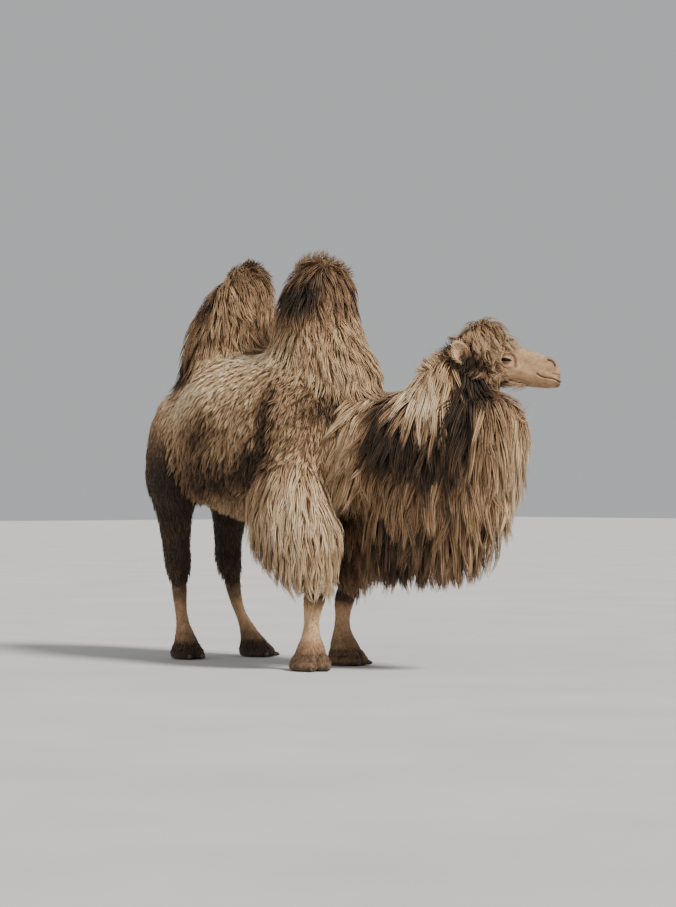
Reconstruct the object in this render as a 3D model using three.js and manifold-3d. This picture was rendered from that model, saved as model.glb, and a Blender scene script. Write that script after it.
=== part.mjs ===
// A Bactrian camel in its full winter coat, standing square with its head turned to its left.
// Life size, in millimetres: +X is forward, +Y is the animal's left, +Z is up, the soles are at Z = 0.
// Every solid is the outer shape of the coat, out to the tips of the hair.

import * as THREE from "three";
import { mergeVertices } from "three/addons/utils/BufferGeometryUtils.js";
import Module from "manifold-3d";

const wasm = await Module();
wasm.setup();

// ---------------------------------------------------------------- driving sizes

const GAP = 0.5;
const STEEPEST = 0.35; // the sharpest edge that the gap is measured round
const LOOK = 0.02; // how far along the neck its direction is read
const LEFT = 1;
const RIGHT = -1;

// Trunk: outlines along X, each stop is [x, height or half-width].
const TRUNK = {
  rump: -920,
  chest: 710,
  back: [[-920, 1370], [-800, 1480], [-640, 1590], [-400, 1670], [0, 1655], [350, 1650],
    [560, 1560], [710, 1440]],
  belly: [[-920, 1080], [-800, 960], [-620, 870], [-350, 790], [-50, 735], [250, 755],
    [480, 850], [710, 1000]],
  half: [[-920, 190], [-760, 255], [-580, 310], [-400, 385], [-150, 425], [150, 405],
    [400, 350], [710, 240]],
  squareness: 2.3,
  roundRump: 0.16,
  roundChest: 0.14,
  closed: 0.06,
  sag: 0.1,
  steps: 18,
  sides: 24,
};

// Humps: each stop is [z, x, y, half-length, half-width].
const HUMP = {
  squareness: 2.1, roundFoot: 0.14, roundTop: 0.16, lock: 0.02, locks: 5, wave: 90, steps: 10, sides: 16,
};
const HUMP_FRONT = [
  [1340, 380, 0, 330, 240],
  [1480, 385, 0, 335, 260],
  [1665, 305, 0, 290, 235],
  [1850, 275, 5, 240, 200],
  [1950, 290, 8, 235, 175],
  [2060, 295, 10, 185, 130],
  [2150, 290, 10, 110, 80],
];
const HUMP_REAR = [
  [1400, -470, 0, 345, 265],
  [1665, -455, 0, 310, 240],
  [1850, -420, 5, 285, 195],
  [2000, -355, 8, 215, 150],
  [2100, -320, 10, 130, 100],
  [2170, -300, 10, 60, 50],
];

// Neck: each stop is [place along the neck, x, y, z, half-height, half-width].
const NECK_FORM = { squareness: 2.2, roundChest: 0.12, roundHead: 0.1, closed: 0.1, steps: 10, sides: 16 };
const NECK = [
  [0.0, 430, -10, 1170, 290, 270],
  [0.3, 760, 90, 1150, 255, 230],
  [0.55, 960, 210, 1240, 235, 200],
  [0.8, 1050, 305, 1450, 225, 170],
  [1.0, 1100, 350, 1630, 120, 110],
];

// Mane under the throat: stops are [z, rear edge, front edge, half-thickness], measured
// from MANE.foot along MANE.yaw, and the curtain bends to the left with the neck.
const MANE = {
  foot: [480, -40],
  yaw: 25,
  bend: 0.00022,
  squareness: 2.2,
  roundHem: 0.05,
  roundTop: 0.08,
  closed: 0.1,
  lock: 0.03,
  locks: 9,
  wave: 160,
  steps: 12,
  sides: 22,
  stops: [
    [1450, 300, 930, 130],
    [1320, 235, 1030, 190],
    [1160, 190, 1035, 210],
    [960, 140, 1015, 200],
    [810, 135, 960, 180],
    [680, 140, 880, 155],
    [560, 150, 800, 125],
    [480, 165, 660, 95],
    [430, 190, 470, 70],
    [395, 235, 300, 45],
  ],
};

// Head: measured from the middle of the brow, along a muzzle that points yaw degrees to the left
// and pitch degrees down. Each stop is [x, top, bottom, half-width].
const HEAD = {
  brow: [1200, 477, 1571],
  yaw: 50,
  pitch: 17,
  squareness: 2.2,
  closed: 0.12,
  stops: [
    [-285, 60, -110, 90],
    [-210, 160, -150, 130],
    [-145, 180, -150, 140],
    [-85, 168, -140, 130],
    [-45, 118, -125, 112],
    [0, 72, -112, 92],
    [60, 70, -92, 72],
    [125, 73, -76, 58],
    [190, 67, -62, 53],
    [218, 63, -55, 53],
    [243, 52, -50, 50],
    [262, 34, -46, 44],
    [278, 12, -44, 35],
    [289, -10, -40, 22],
  ],
  jaw: [
    [-190, -90, -150, 60],
    [-100, -80, -158, 82],
    [0, -70, -136, 74],
    [110, -60, -114, 52],
    [200, -52, -96, 42],
    [245, -50, -84, 37],
    [275, -48, -71, 29],
    [295, -46, -60, 14],
  ],
};
const HEAD_FORM = { roundBack: 0.14, roundFront: 0.04, steps: 17, sides: 20 };
const JAW_FORM = { roundBack: 0.1, roundFront: 0.06, steps: 8, sides: 12 };
const EYE = { radius: 20, x: -2, side: 76, z: -12, steps: 6, sides: 10 };
const EAR = {
  root: [-190, 88, -70], tip: [-292, 150, -8], half: 40, thick: 15, thin: 0.45,
  leaf: [0.18, 0.8], narrowest: 0.14, steps: 6, sides: 10,
};

const TAIL = {
  root: [-880, 0, 1330], drop: 520, stand: 60, arch: [0.15, 0.5], half: 34, tuft: 62, fullest: 0.95,
  roundTip: 0.14, roundRoot: 0.12, steps: 7, sides: 8,
};

// Legs: paths are stops of [z, x, y]; girths are stops of [z, half-length, half-width].
const FRONT_UPPER_GIRTH = [
  [1280, 150, 110], [1050, 240, 165], [860, 275, 200], [700, 280, 210],
  [560, 215, 170], [480, 160, 130], [395, 95, 80],
];
const HIND_UPPER_GIRTH = [
  [1500, 120, 80], [1410, 168, 112], [1290, 200, 135], [1130, 222, 148], [970, 218, 150],
  [890, 158, 122], [800, 130, 102], [700, 104, 80], [550, 104, 76], [455, 92, 68], [400, 62, 48],
];
const FRONT_LOWER_GIRTH = [
  [470, 66, 62], [400, 64, 62], [340, 62, 58], [290, 48, 47], [230, 43, 42], [170, 54, 52],
  [110, 84, 74], [60, 96, 84],
];
const HIND_LOWER_GIRTH = [
  [480, 62, 52], [400, 56, 46], [320, 46, 40], [225, 41, 36], [160, 52, 46], [110, 72, 62], [60, 88, 76],
];
const LEGS = {
  front_right: {
    girths: [FRONT_UPPER_GIRTH, FRONT_LOWER_GIRTH],
    split: 400,
    path: [[1280, 400, -190], [1050, 330, -225], [860, 348, -240], [700, 400, -240], [560, 470, -235],
      [400, 530, -217], [290, 512, -215], [170, 500, -215], [60, 500, -220]],
    foot: [500, -222, -14, 120, 108],
  },
  front_left: {
    girths: [FRONT_UPPER_GIRTH, FRONT_LOWER_GIRTH],
    split: 430,
    path: [[1280, 360, 190], [1050, 240, 215], [860, 200, 222], [700, 220, 215], [560, 290, 200],
      [430, 335, 185], [360, 300, 180], [260, 283, 178], [170, 275, 180], [60, 310, 180]],
    foot: [322, 182, 12, 116, 100],
  },
  hind_right: {
    girths: [HIND_UPPER_GIRTH, HIND_LOWER_GIRTH],
    split: 405,
    path: [[1500, -620, -130], [1410, -660, -150], [1290, -680, -170], [1130, -690, -182], [970, -698, -190],
      [800, -705, -190], [550, -682, -185],
      [400, -676, -178], [225, -656, -172], [110, -625, -170], [60, -615, -170]],
    foot: [-605, -170, -8, 106, 92],
  },
  hind_left: {
    girths: [HIND_UPPER_GIRTH, HIND_LOWER_GIRTH],
    split: 405,
    path: [[1500, -620, 130], [1410, -660, 150], [1290, -680, 170], [1130, -690, 185], [970, -705, 200],
      [800, -735, 215], [550, -762, 220],
      [430, -728, 220], [280, -676, 222], [160, -600, 232], [60, -535, 240]],
    foot: [-512, 240, 12, 108, 94],
  },
};
const UPPER_LEG = { roundFoot: 0.03, roundTop: 0.12, lock: 0.025, locks: 7, wave: 120, steps: 10, sides: 14 };
const LOWER_LEG = { steps: 8, sides: 12 };
const LEG_SQUARENESS = 2.15;
const SOLE_EDGE = 8;
const INSTEP = 96;

// Feet: the outline's share of its full size at each height, and the cleft between the toes.
const FOOT = {
  sizes: [[0, 0.9], [SOLE_EDGE, 0.99], [30, 1], [60, 0.86], [INSTEP, 0.62]],
  heights: [0, SOLE_EDGE, 30, 62, INSTEP],
  lean: 1.5, cleft: 0.13, cleftAngle: 0.22, squareness: 2.3, sides: 18,
};
const NAIL = {
  length: 46, width: 24, height: 26, spread: 0.42, tilt: 0.35, ahead: 0.93, aside: 1.02, rise: 17,
  steps: 4, sides: 6,
};

// ---------------------------------------------------------------- shape functions

// A smooth curve through stops of [place, value, value ...]; place may rise or fall.
function through(stops) {
  const rising = stops[0][0] < stops[stops.length - 1][0];
  const list = rising ? stops : [...stops].reverse();
  const slope = (i, k) => {
    const before = list[Math.max(i - 1, 0)];
    const after = list[Math.min(i + 1, list.length - 1)];
    return (after[k] - before[k]) / (after[0] - before[0]);
  };
  return (place) => {
    const at = Math.min(Math.max(place, list[0][0]), list[list.length - 1][0]);
    let i = 0;
    while (i < list.length - 2 && at > list[i + 1][0]) {
      i += 1;
    }
    const span = list[i + 1][0] - list[i][0];
    const t = (at - list[i][0]) / span;
    const values = [];
    for (let k = 1; k < list[0].length; k += 1) {
      const leave = slope(i, k) * span * (t ** 3 - 2 * t ** 2 + t);
      const arrive = slope(i + 1, k) * span * (t ** 3 - t ** 2);
      const ease = 3 * t ** 2 - 2 * t ** 3;
      values.push(list[i][k] * (1 - ease) + leave + list[i + 1][k] * ease + arrive);
    }
    return values;
  };
}

// Steps from 0 to 1, closer together near both ends.
function paces(count) {
  return Array.from({ length: count + 1 }, (_, i) => (1 - Math.cos((Math.PI * i) / count)) / 2);
}

// How wide a rounded end is at t, from 0 at the end to 1 where the rounding stops.
function rounded(t, start, end) {
  const head = start > 0 && t < start ? Math.sqrt(1 - (1 - t / start) ** 2) : 1;
  const tail = end > 0 && t > 1 - end ? Math.sqrt(1 - (1 - (1 - t) / end) ** 2) : 1;
  return head * tail;
}

// An egg-shaped outline: half-width, height above and depth below its centre.
function egg(half, above, below, squareness = 2) {
  const bulge = (value) => Math.sign(value) * Math.abs(value) ** (2 / squareness);
  return (angle) => {
    const up = bulge(Math.sin(angle));
    return [half * bulge(Math.cos(angle)), up * (up > 0 ? above : below)];
  };
}

// A closed body through rings, each with a centre, two directions and an outline. The outlines
// run anticlockwise about the direction that the rings follow, and each end closes on a fan.
function loft(rings, sides) {
  const points = [];
  const faces = [];
  for (const ring of rings) {
    for (let i = 0; i < sides; i += 1) {
      const [u, v] = ring.outline((2 * Math.PI * i) / sides);
      points.push(ring.centre.clone().addScaledVector(ring.across, u).addScaledVector(ring.up, v));
    }
  }
  const last = rings.length - 1;
  for (let r = 0; r < last; r += 1) {
    for (let i = 0; i < sides; i += 1) {
      const a = r * sides + i;
      const b = r * sides + ((i + 1) % sides);
      faces.push(a, b, b + sides, a, b + sides, a + sides);
    }
  }
  const middle = (r) => points.slice(r * sides, (r + 1) * sides)
    .reduce((sum, p) => sum.add(p), new THREE.Vector3()).divideScalar(sides);
  const start = points.push(middle(0)) - 1;
  const end = points.push(middle(last)) - 1;
  for (let i = 0; i < sides; i += 1) {
    const next = (i + 1) % sides;
    faces.push(start, next, i);
    faces.push(end, last * sides + i, last * sides + next);
  }
  const geometry = new THREE.BufferGeometry().setFromPoints(points);
  geometry.setIndex(faces);
  return geometry;
}

// A body of upright stacked rings: shape(z) gives x, y, half-length and half-width.
function column({ from, to, shape, steps, sides, squareness = 2, startRound = 0, endRound = 0, ripple }) {
  const smallest = 0.05;
  const along = new THREE.Vector3(1, 0, 0);
  const side = new THREE.Vector3(0, 1, 0);
  const rings = paces(steps).map((t) => {
    const z = from + (to - from) * t;
    const [x, y, length, width] = shape(z);
    const size = Math.max(rounded(t, startRound, endRound), smallest);
    const outline = egg(length * size, width * size, width * size, squareness);
    return {
      centre: new THREE.Vector3(x, y, z),
      across: along,
      up: side,
      outline: (angle) => {
        const [u, v] = outline(angle);
        const scale = ripple ? 1 + ripple(angle, z) : 1;
        return [u * scale, v * scale];
      },
    };
  });
  return loft(rings, sides);
}

// Only the positions, with shared corners.
function bare(geometry) {
  const shell = geometry.clone();
  shell.deleteAttribute("normal");
  shell.deleteAttribute("uv");
  return mergeVertices(shell, 1e-4);
}

function solid(geometry) {
  const shell = bare(geometry);
  return new wasm.Manifold(new wasm.Mesh({
    numProp: 3,
    vertProperties: new Float32Array(shell.attributes.position.array),
    triVerts: new Uint32Array(shell.index.array),
  }));
}

// The same body with every face moved out by the gap that touching pieces keep. A corner goes
// along the mean of its faces' directions, as far as the steepest of them needs.
function swollen(geometry) {
  const shell = bare(geometry);
  const { position } = shell.attributes;
  const corners = Array.from({ length: position.count }, () => []);
  const face = new THREE.Triangle();
  for (let i = 0; i < shell.index.count; i += 3) {
    const corner = [0, 1, 2].map((k) => shell.index.getX(i + k));
    face.setFromAttributeAndIndices(position, ...corner);
    const direction = face.getNormal(new THREE.Vector3());
    corner.forEach((c) => corners[c].push(direction));
  }
  corners.forEach((directions, c) => {
    const out = directions.reduce((sum, d) => sum.add(d), new THREE.Vector3()).normalize();
    const steepest = Math.min(...directions.map((d) => d.dot(out)));
    const point = new THREE.Vector3().fromBufferAttribute(position, c);
    point.addScaledVector(out, GAP / Math.max(steepest, STEEPEST));
    position.setXYZ(c, point.x, point.y, point.z);
  });
  return solid(shell);
}

// The largest single body of what is left.
function largest(body) {
  return body.decompose().reduce((a, b) => (a.volume() > b.volume() ? a : b));
}

function carve(geometry, ...neighbours) {
  return largest(neighbours.reduce((body, other) => body.subtract(swollen(other)), solid(geometry)));
}

// ---------------------------------------------------------------- body

function trunkShape() {
  const back = through(TRUNK.back);
  const belly = through(TRUNK.belly);
  const half = through(TRUNK.half);
  const rings = paces(TRUNK.steps).map((t) => {
    const x = TRUNK.rump + (TRUNK.chest - TRUNK.rump) * t;
    const [top] = back(x);
    const [bottom] = belly(x);
    const size = Math.max(rounded(t, TRUNK.roundRump, TRUNK.roundChest), TRUNK.closed);
    const tall = ((top - bottom) / 2) * size;
    return {
      centre: new THREE.Vector3(x, 0, (top + bottom) / 2 - TRUNK.sag * tall),
      across: new THREE.Vector3(0, 1, 0),
      up: new THREE.Vector3(0, 0, 1),
      outline: egg(half(x)[0] * size, tall * (1 + TRUNK.sag), tall * (1 - TRUNK.sag), TRUNK.squareness),
    };
  });
  return loft(rings, TRUNK.sides);
}

function humpShape(stops) {
  const top = stops[stops.length - 1][0];
  return column({
    from: stops[0][0], to: top, shape: through(stops), steps: HUMP.steps, sides: HUMP.sides,
    squareness: HUMP.squareness, startRound: HUMP.roundFoot, endRound: HUMP.roundTop,
    ripple: (angle, z) => HUMP.lock * Math.sin(HUMP.locks * angle + z / HUMP.wave),
  });
}

function neckShape() {
  const spine = through(NECK);
  const rings = paces(NECK_FORM.steps).map((t) => {
    const [x, y, z, tall, half] = spine(t);
    const [x0, y0, z0] = spine(Math.max(t - LOOK, 0));
    const [x1, y1, z1] = spine(Math.min(t + LOOK, 1));
    const forward = new THREE.Vector3(x1 - x0, y1 - y0, z1 - z0).normalize();
    const across = new THREE.Vector3(-forward.y, forward.x, 0).normalize();
    const size = Math.max(rounded(t, NECK_FORM.roundChest, NECK_FORM.roundHead), NECK_FORM.closed);
    return {
      centre: new THREE.Vector3(x, y, z),
      across,
      up: forward.clone().cross(across),
      outline: egg(half * size, tall * size, tall * size, NECK_FORM.squareness),
    };
  });
  return loft(rings, NECK_FORM.sides);
}

function maneShape() {
  const edges = through(MANE.stops);
  const turn = THREE.MathUtils.degToRad(MANE.yaw);
  const along = new THREE.Vector3(Math.cos(turn), Math.sin(turn), 0);
  const side = new THREE.Vector3(-Math.sin(turn), Math.cos(turn), 0);
  const [top] = MANE.stops[0];
  const [bottom] = MANE.stops[MANE.stops.length - 1];
  const rings = paces(MANE.steps).map((t) => {
    const z = bottom + (top - bottom) * t;
    const [rear, front, thick] = edges(z);
    const size = Math.max(rounded(t, MANE.roundHem, MANE.roundTop), MANE.closed);
    const outline = egg(((front - rear) / 2) * size, thick * size, thick * size, MANE.squareness);
    return {
      centre: new THREE.Vector3(MANE.foot[0], MANE.foot[1], z).addScaledVector(along, (front + rear) / 2),
      across: along,
      up: side,
      outline: (angle) => {
        const [u, v] = outline(angle);
        const lock = 1 + MANE.lock * Math.sin(MANE.locks * angle + z / MANE.wave);
        return [u * lock, v * lock + MANE.bend * u * u];
      },
    };
  });
  return loft(rings, MANE.sides);
}

// ---------------------------------------------------------------- head

const headAxes = (() => {
  const yaw = THREE.MathUtils.degToRad(HEAD.yaw);
  const pitch = THREE.MathUtils.degToRad(HEAD.pitch);
  const forward = new THREE.Vector3(
    Math.cos(yaw) * Math.cos(pitch),
    Math.sin(yaw) * Math.cos(pitch),
    -Math.sin(pitch),
  );
  const left = new THREE.Vector3(-Math.sin(yaw), Math.cos(yaw), 0);
  return { forward, left, up: forward.clone().cross(left) };
})();

function headPoint(x, y, z) {
  return new THREE.Vector3(...HEAD.brow)
    .addScaledVector(headAxes.forward, x)
    .addScaledVector(headAxes.left, y)
    .addScaledVector(headAxes.up, z);
}

function headLoft(stops, { roundBack, roundFront, steps, sides }) {
  const shape = through(stops);
  const first = stops[0][0];
  const last = stops[stops.length - 1][0];
  const rings = paces(steps).map((t) => {
    const x = first + (last - first) * t;
    const [top, bottom, half] = shape(x);
    const size = Math.max(rounded(t, roundBack, roundFront), HEAD.closed);
    const tall = ((top - bottom) / 2) * size;
    return {
      centre: headPoint(x, 0, (top + bottom) / 2),
      across: headAxes.left,
      up: headAxes.up,
      outline: egg(half * size, tall, tall, HEAD.squareness),
    };
  });
  return loft(rings, sides);
}

function headShape() {
  return headLoft(HEAD.stops, HEAD_FORM);
}

function jawShape() {
  return headLoft(HEAD.jaw, JAW_FORM);
}

function eyeShape(side) {
  const ball = new THREE.SphereGeometry(EYE.radius, EYE.sides, EYE.steps);
  ball.translate(...headPoint(EYE.x, side * EYE.side, EYE.z).toArray());
  return ball;
}

// An ear is a leaf that reaches out and back from its root, with rounded edges.
function earShape(side) {
  const root = headPoint(EAR.root[0], side * EAR.root[1], EAR.root[2]);
  const tip = headPoint(EAR.tip[0], side * EAR.tip[1], EAR.tip[2]);
  const reach = tip.clone().sub(root).normalize();
  const across = headAxes.left.clone().projectOnPlane(reach).normalize();
  const up = reach.clone().cross(across);
  const [base, spread] = EAR.leaf;
  const rings = paces(EAR.steps).map((t) => {
    const leaf = Math.max(Math.sin(Math.PI * (base + spread * t)), EAR.narrowest);
    return {
      centre: root.clone().lerp(tip, t),
      across,
      up,
      outline: egg(EAR.thick * (1 - EAR.thin * t), EAR.half * leaf, EAR.half * leaf),
    };
  });
  return loft(rings, EAR.sides);
}

// ---------------------------------------------------------------- legs and tail

function legPiece(leg, girth, options) {
  const path = through(leg.path);
  const thick = through(girth);
  return column({ ...options, squareness: LEG_SQUARENESS, shape: (z) => [...path(z), ...thick(z)] });
}

function upperLegShape(leg) {
  const { roundFoot, roundTop, lock, locks, wave, steps, sides } = UPPER_LEG;
  const [girth] = leg.girths;
  return legPiece(leg, girth, {
    from: leg.split, to: girth[0][0], steps, sides, startRound: roundFoot, endRound: roundTop,
    ripple: (angle, z) => lock * Math.sin(locks * angle + z / wave),
  });
}

function lowerLegShape(leg) {
  const [, girth] = leg.girths;
  return legPiece(leg, girth, { ...LOWER_LEG, from: INSTEP + GAP, to: leg.split - GAP });
}

// A broad padded foot with two toes: flat below, and cleft in front.
function footShape(leg) {
  const [x, y, yaw, length, width] = leg.foot;
  const ankle = through(leg.path)(INSTEP);
  const size = through(FOOT.sizes);
  const fromFront = (angle) => Math.atan2(Math.sin(angle), Math.cos(angle));
  const cleft = (angle) => FOOT.cleft * Math.exp(-((fromFront(angle) / FOOT.cleftAngle) ** 2));
  const turn = THREE.MathUtils.degToRad(yaw);
  const rings = FOOT.heights.map((z) => {
    const rise = z / INSTEP;
    const [scale] = size(z);
    const outline = egg(length * scale, width * scale, width * scale, FOOT.squareness);
    const nearer = rise ** FOOT.lean;
    return {
      centre: new THREE.Vector3(x + (ankle[0] - x) * nearer, y + (ankle[1] - y) * nearer, z),
      across: new THREE.Vector3(Math.cos(turn), Math.sin(turn), 0),
      up: new THREE.Vector3(-Math.sin(turn), Math.cos(turn), 0),
      outline: (angle) => {
        const [u, v] = outline(angle);
        const scaleIn = 1 - cleft(angle) * (1 - rise);
        return [u * scaleIn, v * scaleIn];
      },
    };
  });
  return loft(rings, FOOT.sides);
}

function nailShape(leg, side) {
  const [x, y, yaw, length, width] = leg.foot;
  const turn = THREE.MathUtils.degToRad(yaw);
  const out = side * NAIL.spread;
  const nail = new THREE.SphereGeometry(1, NAIL.sides, NAIL.steps);
  nail.scale(NAIL.length / 2, NAIL.width / 2, NAIL.height / 2);
  nail.rotateY(NAIL.tilt);
  nail.translate(length * Math.cos(out) * NAIL.ahead, width * Math.sin(out) * NAIL.aside, NAIL.rise);
  nail.rotateZ(turn);
  nail.translate(x, y, 0);
  return nail;
}

function tailShape() {
  const [x, y, z] = TAIL.root;
  const [start, turn] = TAIL.arch;
  return column({
    from: z - TAIL.drop, to: z, steps: TAIL.steps, sides: TAIL.sides,
    startRound: TAIL.roundTip, endRound: TAIL.roundRoot,
    shape: (height) => {
      const down = (z - height) / TAIL.drop;
      const tuft = Math.sin(Math.PI * Math.min(down, TAIL.fullest)) ** 2;
      const half = TAIL.half + (TAIL.tuft - TAIL.half) * tuft;
      return [x - TAIL.stand * Math.sin(Math.PI * (start + turn * down)), y, half, half];
    },
  });
}

// ---------------------------------------------------------------- materials

function paint(color, roughness) {
  return new THREE.MeshStandardMaterial({ color, roughness, metalness: 0 });
}

const COAT = paint(0x9a7850, 0.95);
const MANE_HAIR = paint(0x6f5335, 0.95);
const LEG_HAIR = paint(0x7f6242, 0.95);
const SKIN = paint(0xb89a72, 0.8);
const SOLE = paint(0x5c4c3a, 0.8);
const HORN = paint(0x2d251e, 0.5);
const WET = paint(0x120c08, 0.08);

// ---------------------------------------------------------------- assembly

const camel = new THREE.Group();

function add(name, body, material) {
  const { numProp, vertProperties, triVerts } = body.getMesh();
  const points = new Float32Array((vertProperties.length / numProp) * 3);
  for (let i = 0; i < points.length / 3; i += 1) {
    points.set(vertProperties.subarray(i * numProp, i * numProp + 3), i * 3);
  }
  const geometry = new THREE.BufferGeometry();
  geometry.setAttribute("position", new THREE.BufferAttribute(points, 3));
  geometry.setIndex(new THREE.BufferAttribute(new Uint32Array(triVerts), 1));
  geometry.computeVertexNormals();
  const mesh = new THREE.Mesh(geometry, material);
  mesh.name = name;
  camel.add(mesh);
}

const trunk = trunkShape();
const neck = neckShape();
const mane = maneShape();
const head = headShape();
const jaw = jawShape();
const humpFront = humpShape(HUMP_FRONT);
const humpRear = humpShape(HUMP_REAR);
const eyes = { left: eyeShape(LEFT), right: eyeShape(RIGHT) };
const ears = { left: earShape(LEFT), right: earShape(RIGHT) };

add("trunk", solid(trunk), COAT);
add("hump_front", carve(humpFront, trunk), COAT);
add("hump_rear", carve(humpRear, trunk, humpFront), COAT);
add("neck", carve(neck, trunk, humpFront, head, jaw), COAT);
add("mane", carve(mane, trunk, neck, head, jaw), MANE_HAIR);
add("head", carve(head, eyes.left, eyes.right), SKIN);
add("jaw", carve(jaw, head), SKIN);
for (const side of ["left", "right"]) {
  add(`eye_${side}`, solid(eyes[side]), WET);
  add(`ear_${side}`, carve(ears[side], head, neck), SKIN);
}

const done = [trunk, mane, neck];
for (const [place, leg] of Object.entries(LEGS)) {
  const outward = place.endsWith("left") ? LEFT : RIGHT;
  const upper = upperLegShape(leg);
  const lower = lowerLegShape(leg);
  const foot = footShape(leg);
  const nails = { inner: nailShape(leg, -outward), outer: nailShape(leg, outward) };
  add(`upper_leg_${place}`, carve(upper, ...done), LEG_HAIR);
  add(`lower_leg_${place}`, solid(lower), LEG_HAIR);
  add(`foot_${place}`, carve(foot, nails.inner, nails.outer), SOLE);
  for (const [where, nail] of Object.entries(nails)) {
    add(`nail_${where}_${place}`, solid(nail), HORN);
  }
  done.push(upper);
}
add("tail", carve(tailShape(), trunk), MANE_HAIR);

// The origin is at the middle of the floor that the camel covers.
camel.updateMatrixWorld(true);
const box = new THREE.Box3().setFromObject(camel, true);
const middle = box.getCenter(new THREE.Vector3());
camel.position.set(-middle.x, -middle.y, 0);

const group = new THREE.Group();
group.add(camel);

export default group;
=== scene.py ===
"""A Bactrian camel in its winter coat, dressed over its solids: one skin, eyes, ears, toenails, and
a coat of solid locks that grow from the skin and follow the lie of the hair."""

import math

import bmesh
import bpy
import numpy as np
from mathutils import Matrix, Vector, noise
from mathutils.bvhtree import BVHTree
from mathutils.kdtree import KDTree


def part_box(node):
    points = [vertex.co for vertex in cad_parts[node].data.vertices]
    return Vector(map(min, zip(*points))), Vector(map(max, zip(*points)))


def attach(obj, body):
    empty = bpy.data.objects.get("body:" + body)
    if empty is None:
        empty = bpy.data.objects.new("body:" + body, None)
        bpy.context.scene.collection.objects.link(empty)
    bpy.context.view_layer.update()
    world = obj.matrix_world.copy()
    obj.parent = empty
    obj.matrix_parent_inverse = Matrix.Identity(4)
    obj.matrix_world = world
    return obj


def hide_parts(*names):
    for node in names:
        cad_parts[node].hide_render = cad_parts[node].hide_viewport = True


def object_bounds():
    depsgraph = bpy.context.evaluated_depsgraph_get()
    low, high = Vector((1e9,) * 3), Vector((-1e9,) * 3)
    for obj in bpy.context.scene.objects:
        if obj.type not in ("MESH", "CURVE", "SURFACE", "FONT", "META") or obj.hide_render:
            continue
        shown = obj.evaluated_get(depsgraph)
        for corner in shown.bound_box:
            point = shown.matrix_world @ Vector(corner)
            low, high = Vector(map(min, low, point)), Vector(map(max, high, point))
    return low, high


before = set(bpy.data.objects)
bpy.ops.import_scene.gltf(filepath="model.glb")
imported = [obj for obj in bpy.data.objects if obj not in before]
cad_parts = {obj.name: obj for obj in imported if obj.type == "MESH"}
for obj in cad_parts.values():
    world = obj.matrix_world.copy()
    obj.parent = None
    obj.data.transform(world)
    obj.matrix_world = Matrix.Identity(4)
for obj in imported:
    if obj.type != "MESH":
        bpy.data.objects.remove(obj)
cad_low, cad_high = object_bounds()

SEED = 7
rng = np.random.default_rng(SEED)
noise.seed_set(SEED)  # noise_vector would otherwise start from the clock, and each run would differ

# ---------------------------------------------------------------- measures, in metres

SKIN_GRID = 0.018  # size of the skin's faces on the body
HEAD_PITCH = math.radians(17)  # how far the muzzle points down
FACE_REACH = 0.42  # from the brow to beyond the tip of the muzzle
SEAM = 0.00005  # corners nearer to each other than this are one

LEGS = ("front_right", "front_left", "hind_right", "hind_left")
NAILS = tuple(f"nail_{where}_{leg}" for leg in LEGS for where in ("inner", "outer"))
FLESH = tuple(n for n in sorted(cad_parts) if not n.startswith(("eye", "nail", "ear")))

# How deep the coat is over the skin, by the part of the body.
COAT_DEPTH = {
    "trunk": 0.030, "hump_front": 0.034, "hump_rear": 0.034, "neck": 0.042, "mane": 0.050,
    "head": 0.030, "jaw": 0.002, "tail": 0.022,
    "upper_leg_front": 0.040, "upper_leg_hind": 0.014, "lower_leg": 0.004, "foot": 0.0015,
}
UNDERCOAT_PAINTED_SHADE = 0.14  # how much darker the wool under the locks is: painted shade in the gaps between them
MANE_HEM = 0.75  # below this height the mane's hair hangs free of the skin
MANE_LIFT = 0.32  # how much of that stretch the skin leaves to the hair


def depth_of(node):
    return next(depth for name, depth in COAT_DEPTH.items() if node.startswith(name))


# ---------------------------------------------------------------- the head's own directions

def middle(node):
    low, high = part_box(node)
    return (Vector(low) + Vector(high)) / 2


eye_left, eye_right = middle("eye_left"), middle("eye_right")
HEAD_LEFT = (eye_left - eye_right).normalized()
level = Vector((HEAD_LEFT.y, -HEAD_LEFT.x, 0))
HEAD_FORWARD = level * math.cos(HEAD_PITCH) - Vector((0, 0, math.sin(HEAD_PITCH)))
HEAD_UP = HEAD_FORWARD.cross(HEAD_LEFT)
HEAD_AXES = np.array([HEAD_FORWARD, HEAD_LEFT, HEAD_UP])
EYE_PLACE = ((eye_left - eye_right).length / 2, -0.002, -0.012)  # aside, ahead and above the brow
BROW = (eye_left + eye_right) / 2 - HEAD_FORWARD * EYE_PLACE[1] - HEAD_UP * EYE_PLACE[2]


def in_head(points):
    """Points as distances forward, left and up from the middle of the brow."""
    return (points - np.array(BROW)) @ HEAD_AXES.T


def from_head(x, y, z):
    return BROW + HEAD_FORWARD * x + HEAD_LEFT * y + HEAD_UP * z


# ---------------------------------------------------------------- small tools

def ease(value, low, high):
    """0 below low, 1 above high, and smooth between them; low may be the greater."""
    t = np.clip((value - low) / (high - low), 0, 1)
    return t * t * (3 - 2 * t)


def numbers(items, name, width):
    found = np.empty(len(items) * width, np.float32)
    items.foreach_get(name, found)
    return found.reshape(-1, width).astype(float)


def unit(vectors):
    return vectors / np.maximum(np.linalg.norm(vectors, axis=-1, keepdims=True), 1e-9)


def wander(points, scale, seed):
    """A smooth random direction at each point, the same for near neighbours."""
    offset = Vector((seed * 7.3, seed * 3.1, seed * 5.7))
    return np.array([noise.noise_vector(Vector(p) * scale + offset) for p in points])


def add_object(name, mesh, material):
    piece = linked(name, mesh)
    mesh.materials.clear()
    mesh.materials.append(material)
    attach(piece, "root")
    return piece


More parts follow.
